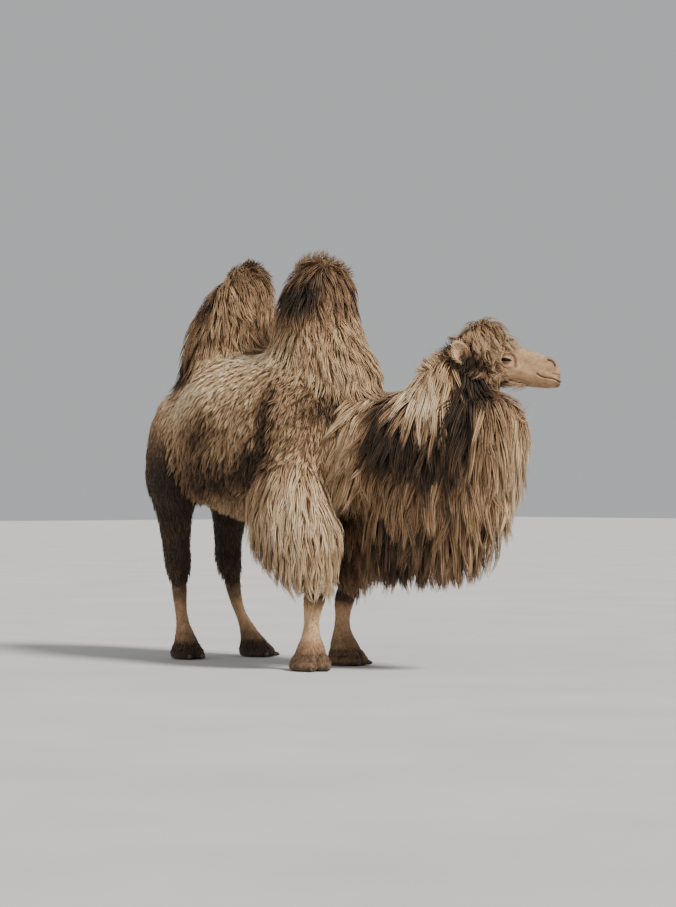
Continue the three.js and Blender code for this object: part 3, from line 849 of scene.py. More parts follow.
def shape_feet(mesh):
    """Two toes with a cleft between them, a pad that bulges at the floor, and creases above it."""
    points = points_of(mesh)
    normals = normals_of(mesh)
    for leg in LEGS:
        nails = [middle(f"nail_{where}_{leg}") for where in ("inner", "outer")]
        toe = np.array((nails[0] + nails[1]) / 2)
        low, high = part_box(f"foot_{leg}")
        heel = (np.array(low) + np.array(high)) / 2
        ahead = unit(np.array([toe[0] - heel[0], toe[1] - heel[1], 0]))
        side = np.array([-ahead[1], ahead[0], 0])
        p = points - heel
        along, across, up = p @ ahead, p @ side, points[:, 2]
        near = (np.hypot(p[:, 0], p[:, 1]) < 0.16) & (up < 0.14)
        cleft = np.exp(-((across / 0.009) ** 2)) * ease(along, 0.02, 0.07) * ease(up, 0.10, 0.05)
        crease = np.exp(-(((up - 0.052) / 0.006) ** 2)) + 0.7 * np.exp(-(((up - 0.078) / 0.006) ** 2))
        rim = np.exp(-(((up - 0.014) / 0.009) ** 2))
        move = -0.012 * cleft - 0.0022 * crease + 0.0015 * rim
        points += normals * np.where(near, move, 0)[:, None]
    points[:, 2] = np.maximum(points[:, 2], 0.0005)
    set_points(mesh, points)


def shape_shanks(mesh):
    """Flat-sided cannon bones with a tendon behind each, and knobs at the joints."""
    points = points_of(mesh)
    normals = normals_of(mesh)
    for leg in LEGS:
        low, high = (np.array(corner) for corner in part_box(f"lower_leg_{leg}"))
        near = np.all((points > low - 0.03) & (points < high + 0.03), axis=1)
        rise = (points[:, 2] - low[2]) / (high[2] - low[2])
        shank = np.exp(-(((rise - 0.55) / 0.25) ** 2))
        sideways = np.abs(normals[:, 1])
        behind = ease(-normals[:, 0], 0.1, 0.6)
        move = -0.0035 * shank * sideways ** 2 * (1 - behind) + 0.002 * shank * behind
        points += normals * np.where(near, move, 0)[:, None]
    set_points(mesh, points)


def make_skin():
    mesh = remeshed(FLESH, SKIN_GRID, 3)
    mesh.name = "skin"
    sink_skin(mesh)
    refine(mesh)
    edges = neighbours_of(mesh)
    points = points_of(mesh)
    set_points(mesh, spread_out(points, edges, 2))
    fit_head(mesh)
    shape_face(mesh)
    shape_shanks(mesh)
    shape_feet(mesh)
    round_off(mesh)
    skin = add_object("skin", mesh, SKIN)
    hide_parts(*FLESH)
    return skin


def unwrap(piece):
    """Lays the skin out flat on the map that its colours are kept on."""
    piece.data.uv_layers.active = piece.data.uv_layers.new(name="OFBake")
    bpy.context.view_layer.objects.active = piece
    piece.select_set(True)
    bpy.ops.object.mode_set(mode="EDIT")
    bpy.ops.mesh.select_all(action="SELECT")
    bpy.ops.uv.smart_project(angle_limit=math.radians(66), island_margin=0.003)
    bpy.ops.object.mode_set(mode="OBJECT")
    piece.select_set(False)


# ---------------------------------------------------------------- the lie of the coat

UP = np.array([0.0, 0.0, 1.0])
WHORL = (-0.185, 0.0, 0.17)  # the back of the crown, in the head's own directions
THROAT = (-0.10, 0.0, -0.10)  # where the mane fans out from, in the head's own directions
trunk_low, trunk_high = (np.array(corner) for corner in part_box("trunk"))
BODY_MIDDLE = (trunk_low + trunk_high) / 2


def axis_away(points, node):
    """Level directions away from the upright axis of a node."""
    centre = np.array(middle(node))
    away = points - centre
    away[:, 2] = 0
    return unit(away)


def lie_of(points, node):
    """The way that the hair lies at each point of a node, before it is laid on the skin."""
    down = np.tile(-UP, (len(points), 1))
    if node == "trunk":
        return down + (-0.22, 0, 0)
    if node in ("hump_front", "hump_rear"):
        ahead = 0.25 if node == "hump_front" else -0.10
        return down + 0.75 * axis_away(points, node) + 0.40 * wander(points, 14, 35) + (ahead, 0, 0)
    if node == "neck":
        return down + 0.25 * axis_away(points, "neck") + (-0.22, -0.10, 0)
    if node == "mane":
        from_throat = unit(points - np.array(from_head(*THROAT)))
        spread = ease(points[:, 2], 0.9, 1.35)[:, None]
        return down + from_throat * (0.25 + 0.75 * spread) * (1, 1, 0)
    if node in ("head", "jaw"):
        return head_lie(points)
    if node.startswith("upper_leg_front"):
        return down + 0.18 * axis_away(points, node)
    return down + (-0.12, 0, 0)


def head_lie(points):
    """Hair runs back from the nose, and falls away from a whorl at the back of the crown. Under
    the jaw it hangs backwards."""
    x, y, z = in_head(points).T
    back = -np.tile(HEAD_AXES[0], (len(points), 1))
    sideways = np.sign(y)[:, None] * HEAD_AXES[1]
    fall = ease(x, 0.02, -0.04)[:, None]
    away = unit(np.stack([x - WHORL[0], y * 1.2, z * 0], axis=1)) @ HEAD_AXES
    top = ease(z, 0.11, 0.16)[:, None]
    under = ease(z, -0.055, -0.095)[:, None]
    wool = (0.9 - 0.4 * top) * away - (0.8 - 0.6 * top) * UP + 0.6 * top * wander(points, 22, 21)
    wool = wool * (1 - under) + (0.7 * back - 1.0 * UP + 0.3 * sideways) * under
    face = back - 0.35 * HEAD_AXES[2] + 0.15 * sideways
    return face * (1 - fall) + wool * fall


# ---------------------------------------------------------------- growing locks

def first_in_cells(places):
    """The first of the places in each cell of a grid with cells of size 1."""
    cell = np.floor(places).astype(np.int64)
    key = (cell[:, 0] * 73856093) ^ (cell[:, 1] * 19349663) ^ (cell[:, 2] * 83492791)
    return np.unique(key, return_index=True)[1]


class Ground:
    """The skin as a field that locks are sown on and laid along."""

    def __init__(self, skin):
        mesh = skin.data
        mesh.calc_loop_triangles()
        self.tree = surface(mesh)
        self.points = points_of(mesh)
        self.normals = normals_of(mesh)
        self.owners = owners_of(self.points)
        count = len(mesh.loop_triangles)
        corners = np.empty(count * 3, np.int32)
        mesh.loop_triangles.foreach_get("vertices", corners)
        self.corners = corners.reshape(-1, 3)
        loops = np.empty(count * 3, np.int32)
        mesh.loop_triangles.foreach_get("loops", loops)
        uv = numbers(mesh.uv_layers["OFBake"].uv, "vector", 2)
        self.uv = uv[loops.reshape(-1, 3)]
        a, b, c = (self.points[self.corners[:, i]] for i in range(3))
        self.face_uv = uv[[face.loop_start for face in mesh.polygons]]
        self.areas = np.linalg.norm(np.cross(b - a, c - a), axis=1) / 2
        self.centres = (a + b + c) / 3

    def uv_near(self, points):
        """The place on the skin's map nearest to each point."""
        return self.face_uv[[self.tree.find_nearest(Vector(p))[2] for p in points]]

    def sow(self, chosen, spacing):
        """Roots spread evenly over the chosen triangles, about one in each square of the spacing."""
        spacing = spacing * 1.0
        index = np.nonzero(chosen)[0]
        areas = self.areas[index]
        tries = int(areas.sum() / spacing ** 2 * 5) + 10
        shares = np.cumsum(areas) / areas.sum()
        pick = index[np.searchsorted(shares, rng.random(tries)).clip(0, len(index) - 1)]
        a, b = rng.random(tries), rng.random(tries)
        fold = a + b > 1
        a[fold], b[fold] = 1 - a[fold], 1 - b[fold]
        share = np.stack([1 - a - b, a, b], axis=1)
        corner = self.corners[pick]
        points = (self.points[corner] * share[..., None]).sum(1)
        order = rng.permutation(first_in_cells(points / spacing))
        corner, share = corner[order], share[order]
        return {
            "points": points[order],
            "normals": unit((self.normals[corner] * share[..., None]).sum(1)),
            "uv": (self.uv[pick[order]] * share[..., None]).sum(1),
        }


def locks_of(points, size):
    """The strand that each strand's lock gathers on: one guide in about every size."""
    guides = first_in_cells(points / size + 0.37)
    tree = KDTree(len(guides))
    for guide in guides:
        tree.insert(Vector(points[guide]), int(guide))
    tree.balance()
    return np.array([tree.find(Vector(p))[1] for p in points])


ROOT_DEPTH = 0.003  # how deep in the skin a strand begins
SKIN_GAP = 0.004  # the least height of a strand over the skin and the floor


def creep(ground, roots, flow, length, height, style):
    """Lays each strand over the skin, one step for each of its rings. It keeps to the skin and
    rises to its own height, but falls free where the skin faces down."""
    points, normals = roots["points"], roots["normals"]
    count, rings = len(points), style["rings"]
    routes = np.empty((count, rings + 1, 3))
    fronts = np.empty((count, rings + 1, 3))
    find = ground.tree.find_nearest
    for i in range(count):
        place = points[i] - normals[i] * ROOT_DEPTH
        routes[i, 0] = place
        fronts[i, 0] = facing = normals[i]
        step = length[i] / rings
        for ring in range(1, rings + 1):
            hold = style["cling"] * max(0.0, min(1.0, 1 + (facing[2] + 0.10) / 0.45))
            way = flow[i] - facing * (flow[i] @ facing) * hold
            place = place + way * (step / max(math.sqrt(way @ way), 1e-6))
            if style["hangs"]:
                routes[i, ring] = place
                fronts[i, ring] = HEAD_AXES[0]
                continue
            near, found, _, _ = find(Vector(place))
            found = np.array(found)
            off = (place - near) @ found
            if found @ facing > 0.25:
                facing = found
                rise = height[i] * min(1.0, ring / rings / 0.35)
                free = style["slack"] + style["fringe"] * max(0.0, min(1.0, (-facing[2] - 0.15) / 0.5))
                place = place + facing * (min(max(off, rise), rise + free) - off)
            elif off < SKIN_GAP:
                place = place + found * (SKIN_GAP - off)
            routes[i, ring] = place
            fronts[i, ring] = facing
    return routes, fronts


def grow(ground, roots, lie, style):
    """The routes of the strands, with the way that each faces and how light it is among the
    others. Strands of one lock are much alike, and gather to its tip."""
    count, points = len(roots["points"]), roots["points"]
    lock = locks_of(points, style["lock"])
    clump = wander(points, 1 / style["clump"], style["seed"])
    own, common = rng.random((count, 6)), rng.random((count, 6))[lock]
    mixed = 0.30 * own + 0.70 * common
    flow = unit(lie) + clump * style["stray"] + rng.normal(0, style["part"], (count, 3))[lock]
    flow = 0.35 * flow + 0.65 * flow[lock] + rng.normal(0, style["rough"], (count, 3))
    length = style["length"] * (1 + style["uneven"] * (0.6 * own[:, 0] + 0.4 * common[:, 0] - 0.5) * 2)
    length *= 1 + 0.30 * clump[:, 0]
    room = np.maximum(points[:, 2] - style["hem"] - 0.12 * clump[:, 2], 0.05)
    length = np.minimum(length, room * (0.75 + 0.45 * mixed[:, 5]))
    height = style["depth"] * (0.25 + 0.80 * mixed[:, 1] + 0.35 * clump[:, 1])
    phase = (0.12 * own[:, 2] + common[:, 2]) * 2 * math.pi
    turns = style["turns"] * (0.7 + 0.6 * mixed[:, 3])
    routes, fronts = creep(ground, roots, flow, length, height, style)
    t = np.linspace(0, 1, style["rings"] + 1)[None, :]
    across = unit(np.cross(np.gradient(routes, axis=1), fronts))
    angle = phase[:, None] + turns[:, None] * 2 * math.pi * t
    wave = np.sin(angle) * style["curl"] * np.sqrt(t)
    swell = np.abs(np.cos(angle)) * style["curl"] * 0.7 * t
    routes = routes + across * wave[..., None] + fronts * swell[..., None]
    pull = (style["gather"] * ease(t, 0.05, 1.0))[..., None]
    routes = routes * (1 - pull) + routes[lock] * pull
    for _ in range(2):
        routes[:, 1:-1] = 0.5 * routes[:, 1:-1] + 0.25 * (routes[:, :-2] + routes[:, 2:])
    routes[..., 2] = np.maximum(routes[..., 2], SKIN_GAP)
    return routes, fronts, 0.4 * own[:, 4] + 0.6 * common[:, 4]


# A strand is kept if the cosine of its sharpest bend is over LEAST_BEND, no step of it is this many
# times longer than is usual, and its way agrees with the lie of the coat by more than LEAST_LIE.
LEAST_BEND = 0.10
LONGEST_STEP = 2.5
LEAST_LIE = 0.05
ASIDE_REACH = 0.10  # how far sideways from the skin a strand may end
BOX_REACH = 0.03  # and how far outside the solids' box


def is_smooth_route(routes):
    """True for the strands that bend gently all along."""
    ways = unit(np.diff(routes, axis=1))
    bends = (ways[:, 1:] * ways[:, :-1]).sum(2)
    lengths = np.linalg.norm(np.diff(routes, axis=1), axis=2)
    return (bends.min(1) > LEAST_BEND) & (lengths.max(1) < LONGEST_STEP * np.median(lengths))


def is_along(routes, lie):
    """True for the strands whose tips lie on the side that the coat points to."""
    return (unit(routes[:, -1] - routes[:, 0]) * unit(lie)).sum(1) > LEAST_LIE


def is_close(ground, routes):
    """True for the strands that stay by the skin and don't stick out of the solids' box."""
    tips = routes[:, -1]
    near = np.array([ground.tree.find_nearest(Vector(tip))[0] for tip in tips])
    aside = np.linalg.norm((tips - near)[:, :2], axis=1)
    inside = (tips > np.array(cad_low) - BOX_REACH) & (tips < np.array(cad_high) + BOX_REACH)
    return (aside < ASIDE_REACH) & inside.all(axis=1)


PATCH_HALF = 0.0015  # half the side of each strand's patch on the map that its colours are kept on
RIDGE = 0.50  # how high the ridge along a strand is, as a share of half its width
STREAK = 0.05  # the length of strand that the streaks on it are measured in


def lock_mesh(name, routes, fronts, uv, tone, width, own, fade):
    """One mesh of three-sided strands along their routes, each tapering to a point."""
    count, places, _ = routes.shape
    rings = places - 1
    tangent = unit(np.gradient(routes, axis=1))
    across = unit(np.cross(tangent, fronts))
    outward = np.cross(across, tangent)
    t = np.linspace(0, 1, places)
    taper = (0.55 + 0.45 * np.sin(math.pi * np.clip(t * 1.15 + 0.1, 0, 1))) * (1 - t ** 2.2) ** 0.7
    half = width[:, None] / 2 * taper[None, :]
    ring_points = np.stack([
        routes - across * half[..., None],
        routes + outward * half[..., None] * RIDGE,
        routes + across * half[..., None],
    ], axis=2)[:, :rings]
    per = rings * 3 + 1
    vertices = np.concatenate([ring_points.reshape(count, rings * 3, 3), routes[:, -1:]], axis=1)
    ring, side = np.meshgrid(np.arange(rings - 1), np.arange(3), indexing="ij")
    here = ring * 3 + side
    beside = ring * 3 + (side + 1) % 3
    quads = np.stack([here, beside, beside + 3, here + 3], axis=-1).reshape(-1, 4)
    last = (rings - 1) * 3
    tip = per - 1
    tips = np.array([[last, last + 1, tip], [last + 1, last + 2, tip], [last + 2, last, tip], [2, 1, 0]])
    base = np.arange(count)[:, None, None] * per
    quads = (quads[None] + base).reshape(-1, 4)
    tips = (tips[None] + base).reshape(-1, 3)
    mesh = bpy.data.meshes.new(name)
    mesh.vertices.add(count * per)
    mesh.vertices.foreach_set("co", vertices.astype(np.float32).ravel())
    corners = np.concatenate([quads.ravel(), tips.ravel()]).astype(np.int32)
    mesh.loops.add(len(corners))
    mesh.loops.foreach_set("vertex_index", corners)
    mesh.polygons.add(len(quads) + len(tips))
    starts = np.concatenate([np.arange(len(quads)) * 4, len(quads) * 4 + np.arange(len(tips)) * 3])
    mesh.polygons.foreach_set("loop_start", starts.astype(np.int32))
    smooth = np.ones(len(starts), bool)
    smooth[2:len(quads):3] = False
    smooth[len(quads) + 2::4] = False
    mesh.polygons.foreach_set("use_smooth", smooth)
    mesh.update(calc_edges=True)
    along = np.append(np.repeat(t[:rings], 3), 1.0)
    aside = np.append(np.tile([-1.0, 0.0, 1.0], rings), 0.0)
    patch = np.stack([aside, along * 2 - 1], axis=1) * PATCH_HALF
    bake = (uv[:, None] + patch[None]).reshape(-1, 2)
    lengths = np.linalg.norm(np.diff(routes, axis=1), axis=2).sum(1)
    strand = np.stack([
        np.tile(aside, count) + np.repeat(np.arange(count) % 97 * 3.0, per),
        (along[None] * (lengths / STREAK)[:, None]).ravel(),
    ], axis=1)
    add_map(mesh, "OFBake", bake, corners)
    add_map(mesh, "Strand", strand, corners)
    add_value(mesh, "tone", np.repeat(tone, per))
    add_value(mesh, "along", np.tile(0.5 + (along - 0.5) * fade, count))
    add_value(mesh, "own", np.repeat(own, per))
    return mesh


# How a kind of hair grows. In metres are length, width, depth (its height over the skin), spacing
# (between roots), clump and lock (the sizes of the swirls and of the locks), curl (of its waves),
# slack and fringe (how much higher a strand may stand, and where the skin faces down) and hem (the
# lowest place to hang to). rings is how many steps a strand has, and turns how many waves. part,
# stray and rough say how much the lie differs by lock, swirl and strand, uneven how much lengths
# differ, and gather how tightly a lock closes at its tip. cling is 1 on the skin and 0 for hair
# that goes its own way, hangs is for hair that leaves the skin at once, and lean is added to the
# lie. fade is how much darker the root is than the tip, pale how much lighter the whole strand is
# than the skin, and contrast how much strands differ.
# fade's darker roots are partly painted shade deep in the coat
STYLE = {
    "rings": 4, "length": 0.06, "width": 0.008, "depth": 0.03, "spacing": 0.014, "clump": 0.06, "lock": 0.030,
    "gather": 0.72, "part": 0.15, "stray": 0.35, "rough": 0.14, "uneven": 0.35, "cling": 1.0, "slack": 0.006,
    "fringe": 0.03, "curl": 0.004, "turns": 0.8, "fade": 1.0, "pale": 0.0, "contrast": 1.0, "lean": (0, 0, 0),
    "hem": -1.0, "hangs": False, "seed": 1,
}


def style(**changes):
    return {**STYLE, **changes}


WOOL = style(rings=3, length=0.062, width=0.0070, depth=0.026, spacing=0.0136, lock=0.026, curl=0.005,
             part=0.20, rough=0.14, turns=0.6, gather=0.58, contrast=1.3)
HUMP_HAIR = style(rings=4, length=0.135, width=0.0060, depth=0.034, spacing=0.0130, lock=0.034, clump=0.09,
                  curl=0.006, turns=0.6, slack=0.014, rough=0.10, gather=0.62, fade=1.3, contrast=1.2, seed=2)
CREST_HAIR = style(rings=4, length=0.090, width=0.0038, depth=0.034, spacing=0.0110, lock=0.030, clump=0.08,
                   curl=0.008, turns=0.5, slack=0.030, cling=0.55, lean=(0.55, 0, 1.5), rough=0.22,
                   gather=0.50, seed=13)
NECK_HAIR = style(rings=5, length=0.20, width=0.0062, depth=0.040, spacing=0.0137, lock=0.040, clump=0.09,
                  stray=0.22, rough=0.07, curl=0.008, turns=0.7, slack=0.013, fringe=0.08, fade=1.4,
                  contrast=1.3, seed=3)
NAPE_HAIR = style(rings=5, length=0.085, width=0.0044, depth=0.042, spacing=0.0100, lock=0.024, clump=0.05,
                  curl=0.016, turns=0.9, slack=0.030, cling=0.55, lean=(-0.80, 0, 1.25), gather=0.66, seed=14)
MANE_HAIR = style(rings=5, length=0.27, width=0.0064, depth=0.050, spacing=0.0122, lock=0.040, clump=0.09,
                  stray=0.18, rough=0.06, curl=0.010, turns=0.8, slack=0.022, fringe=0.11, gather=0.76,
                  fade=1.7, contrast=1.8, hem=0.41, seed=4)
SLEEVE_HAIR = style(rings=5, length=0.19, width=0.0058, depth=0.038, spacing=0.0128, lock=0.032, clump=0.07,
                    stray=0.15, rough=0.05, curl=0.010, turns=0.9, slack=0.016, fringe=0.06, gather=0.70,
                    fade=1.8, contrast=1.4, hem=0.385, seed=5)
HAUNCH_HAIR = style(rings=3, length=0.040, width=0.0052, depth=0.008, spacing=0.0132, curl=0.002, turns=0.5,
                    gather=0.50, rough=0.10, seed=6)
SHANK_HAIR = style(rings=3, length=0.024, width=0.0030, depth=0.003, spacing=0.0105, lock=0.018, curl=0.0006,
                   turns=0.4, stray=0.2, slack=0.001, fringe=0.002, gather=0.4, fade=0.4, pale=0.04, seed=7)
CROWN_HAIR = style(rings=5, length=0.082, width=0.0035, depth=0.038, spacing=0.0071, clump=0.035, lock=0.019,
                   curl=0.012, turns=1.1, slack=0.008, part=0.26, rough=0.12, gather=0.68, contrast=1.3,
                   fade=1.3, seed=8)
CHEEK_HAIR = style(rings=4, length=0.060, width=0.0034, depth=0.026, spacing=0.0070, clump=0.035, lock=0.018,
                   curl=0.005, turns=0.8, slack=0.012, fringe=0.03, part=0.3, gather=0.66, contrast=1.3,
                   seed=9)
BEARD_HAIR = style(rings=5, length=0.110, width=0.0026, spacing=0.0072, clump=0.05, lock=0.020, curl=0.010,
                   turns=0.6, cling=0.0, hangs=True, gather=0.50, pale=0.06, fade=0.5, seed=16)
FACE_HAIR = style(rings=2, length=0.013, width=0.0011, depth=0.0009, spacing=0.0043, clump=0.03, lock=0.010,
                  stray=0.15, rough=0.12, part=0.05, curl=0.0002, turns=0.3, slack=0.0004, fringe=0.001,
                  gather=0.2, fade=0.3, pale=0.06, contrast=1.0, seed=10)
TAIL_HAIR = style(rings=5, length=0.16, width=0.0070, depth=0.022, spacing=0.0130, slack=0.02, fringe=0.03,
                  seed=11)
FETLOCK_HAIR = style(rings=3, length=0.036, width=0.0036, depth=0.004, spacing=0.0110, lock=0.02, slack=0.001,
                     turns=0.4, seed=12)
EAR_HAIR = style(rings=3, length=0.026, width=0.0022, depth=0.004, spacing=0.0058, lock=0.008, clump=0.03,
                 curl=0.001, turns=0.4, slack=0.003, gather=0.45, part=0.1, pale=0.06, contrast=0.7, seed=15)


def add_locks(ground, name, roots, lie, tone, look):
    """One mesh of locks that grow from these roots. Strands that cross an eye, bend sharply, run
    against the lie of the coat or stick out of it are left out."""
    routes, fronts, own = grow(ground, roots, lie, look)
    width = look["width"] * (0.7 + 0.6 * rng.random(len(routes)))
    kept = ~is_orbit(routes.reshape(-1, 3), ORBIT_HAIR).reshape(len(routes), -1).any(axis=1)
    kept &= is_smooth_route(routes)
    kept &= is_along(routes, lie)
    kept &= is_close(ground, routes)
    tone = np.clip(tone + look["pale"], 0, 1)
    own = 0.5 + (own - 0.5) * look["contrast"]
    mesh = lock_mesh(name, routes[kept], fronts[kept], roots["uv"][kept], tone[kept], width[kept], own[kept],
                     look["fade"])
    return add_object(name, mesh, HAIR)


def add_coat(ground, name, node, look, chosen=None):
    """One piece of the coat on one node, or on the part of it where chosen is true."""
    is_node = (ground.owners[ground.corners] == FLESH.index(node)).sum(1) >= 2
    if chosen is not None:
        is_node &= chosen(ground.centres)
    roots = ground.sow(is_node, look["spacing"])
    lie = lie_of(roots["points"], node) + look["lean"]
    return add_locks(ground, name, roots, lie, tone_at(roots["points"], node), look)


ORBIT_WOOL = 0.038  # no wool roots this near to the middle of an eye, seen from the side
ORBIT_HAIR = 0.030  # and no strand of any kind comes nearer than this
CHIN_BEARD = ((0.030, 0.150), -0.088)  # from and to, ahead of the brow, and its highest place
NAPE = ((-0.40, -0.235), 0.085, -0.19)  # from and to, half its width, and its lowest place
CREST_REACH = 0.12  # from the top of a hump to where its crest hair ends
FETLOCK_FROM = 0.055  # the foot's hair ends this high above the floor


def left_side(points):
    return points[:, 1] > BODY_MIDDLE[1]


def right_side(points):
    return ~left_side(points)


def mane_side(sign):
    """The half of the mane on one side of its own length."""
    centre = np.array(middle("mane"))
    heading = HEAD_AXES[0] * (1, 1, 0) + np.array([1.0, 0, 0])
    side = unit(np.array([-heading[1], heading[0], 0]))
    return lambda points: ((points - centre) @ side) * sign > 0


def is_woolly(points):
    """Where the head has wool: behind the eye, further forward on the cheek, and not on the lids."""
    x, _, z = in_head(points).T
    ragged = 0.010 * wander(points, 60, 33)[:, 0]
    return (x < wool_edge(z) + ragged) & ~is_orbit(points, ORBIT_WOOL)


def is_orbit(points, reach):
    """Within reach of the middle of the nearer eye, seen from the side."""
    ahead, above, out, _ = eye_frame(points)
    return (np.hypot(ahead, above) < reach) & (out > -0.03)


def is_furry(points):
    """Where the face has short fur: all that is not woolly, but for the lips, nostrils and lids."""
    x = in_head(points)[:, 0]
    ahead, above, _, _ = eye_frame(points)
    return ~is_woolly(points) & (x < LIPS_FROM) & (lid_opening(ahead, above) > 2.2)


def is_crest(node):
    """The top of a hump, with a ragged edge."""
    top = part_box(node)[1][2]
    return lambda points: points[:, 2] + 0.09 * wander(points, 22, 34)[:, 0] > top - CREST_REACH


def is_chin_beard(points):
    """Under the back of the jaw."""
    x, _, z = in_head(points).T
    (start, end), top = CHIN_BEARD
    return (x > start) & (x < end) & (z < top)


def is_nape(points):
    """Behind the ears, along the top of the neck."""
    x, y, z = in_head(points).T
    (start, end), half, bottom = NAPE
    return (x < end) & (x > start) & (np.abs(y) < half) & (z > bottom)


def is_fetlock(points):
    return points[:, 2] > FETLOCK_FROM


def dress(ground):
    """Grows the whole coat, one piece after another."""
    add_coat(ground, "coat_trunk_left", "trunk", WOOL, left_side)
    add_coat(ground, "coat_trunk_right", "trunk", WOOL, right_side)
    add_coat(ground, "coat_hump_front", "hump_front", HUMP_HAIR)
    add_coat(ground, "coat_hump_rear", "hump_rear", HUMP_HAIR)
    add_coat(ground, "coat_crest_front", "hump_front", CREST_HAIR, is_crest("hump_front"))
    add_coat(ground, "coat_crest_rear", "hump_rear", CREST_HAIR, is_crest("hump_rear"))
    add_coat(ground, "coat_neck", "neck", NECK_HAIR)
    add_coat(ground, "coat_nape", "neck", NAPE_HAIR, is_nape)
    add_coat(ground, "coat_nape_curls", "head", NAPE_HAIR, is_nape)
    add_coat(ground, "mane_left", "mane", MANE_HAIR, mane_side(1))
    add_coat(ground, "mane_right", "mane", MANE_HAIR, mane_side(-1))
    for leg in LEGS:
        upper = SLEEVE_HAIR if leg.startswith("front") else HAUNCH_HAIR
        add_coat(ground, f"coat_upper_{leg}", f"upper_leg_{leg}", upper)
        add_coat(ground, f"coat_lower_{leg}", f"lower_leg_{leg}", SHANK_HAIR)
        add_coat(ground, f"coat_foot_{leg}", f"foot_{leg}", FETLOCK_HAIR, is_fetlock)
    add_coat(ground, "coat_crown", "head", CROWN_HAIR, is_woolly)
    add_coat(ground, "coat_cheeks", "jaw", CHEEK_HAIR, is_woolly)
    add_coat(ground, "coat_beard", "jaw", BEARD_HAIR, is_chin_beard)
    add_coat(ground, "coat_face", "head", FACE_HAIR, is_furry)
    add_coat(ground, "coat_chin", "jaw", FACE_HAIR, is_furry)
    add_coat(ground, "coat_tail", "tail", TAIL_HAIR)


def mark_skin(skin):
    """Gives the skin its tones, its bare places and the map that its nap follows."""
    mesh = skin.data
    points = points_of(mesh)
    normals = normals_of(mesh)
    owners = owners_of(points)
    edges = neighbours_of(mesh)
    tones = np.zeros(len(points))
    for index, node in enumerate(FLESH):
        mine = owners == index
        tones[mine] = tone_at(points[mine], node)
    tone = spread_out(tones[:, None], edges, 3)[:, 0]
    depths = coat_depths(points, owners)
    # painted shade on the skin where the coat is deep, in the gaps between the locks
    tone = tone - UNDERCOAT_PAINTED_SHADE * ease(depths, 0.006, 0.02)
    h = in_head(points)
    x, y, z = h.T
    near = is_near(points, BROW, FACE_REACH)
    nostril = line_mark(x, z, NOSTRIL, 0.0048) * (np.abs(y) > NOSE_SIDE)
    mouth = 0.85 * line_mark(x, z, MOUTH, 0.0030) + 0.5 * line_mark(x, z, LIP_EDGE, 0.0030)
    ahead, above, _, _ = eye_frame(points)
    lids = ease(lid_opening(ahead, above), 2.1, 1.35) * (np.hypot(ahead, above) < 0.034)
    bare = np.where(near, np.maximum(np.maximum(nostril, mouth), lids), 0)
    sole = ease(points[:, 2], 0.030, 0.012)
    bare = np.maximum(bare, 0.6 * sole)
    add_value(mesh, "tone", tone)
    add_value(mesh, "bare", np.clip(bare, 0, 1))
    around = np.where(np.abs(normals[:, 0]) > 0.7, points[:, 1], points[:, 0])
    lie = np.stack([around, points[:, 2]], axis=1)
    lie[near] = np.stack([h[near, 2] + np.abs(h[near, 1]) * 0.5, h[near, 0]], axis=1)
    add_map(mesh, "Lie", lie, corner_vertices(mesh))


# ---------------------------------------------------------------- eyes, ears and nails

def make_eye(side, centre):
    bm = bmesh.new()
    bmesh.ops.create_uvsphere(bm, u_segments=48, v_segments=24, radius=EYE_RADIUS)
    bmesh.ops.translate(bm, verts=bm.verts, vec=centre)
    mesh = mesh_from(bm, f"eyeball_{side}")
    round_off(mesh)
    gaze = (HEAD_LEFT * (1 if side == "left" else -1) + HEAD_FORWARD * 0.12).normalized()
    level_squash = 1.6
    values = []
    for vertex in mesh.vertices:
        out = (vertex.co - centre) / EYE_RADIUS
        ahead = out.dot(gaze)
        beside = out.dot(HEAD_FORWARD) - 0.12 * ahead
        tall = out.dot(HEAD_UP) * level_squash
        values.append(max(0.0, 1 - 0.55 * math.hypot(beside, tall)) if ahead > 0 else 0.0)
    add_value(mesh, "sight", values)
    piece = add_object(f"eyeball_{side}", mesh, EYE)
    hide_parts(f"eye_{side}")


EAR_ROOT = (-0.196, 0.100, -0.076)  # ahead of, aside from and above the middle of the brow
EAR_TIP = (-0.280, 0.150, -0.020)
EAR_HALF_WIDTH = 0.042
EAR_WALL = 0.005


def ear_place(place, sign):
    ahead, aside, above = place
    return from_head(ahead, sign * aside, above)


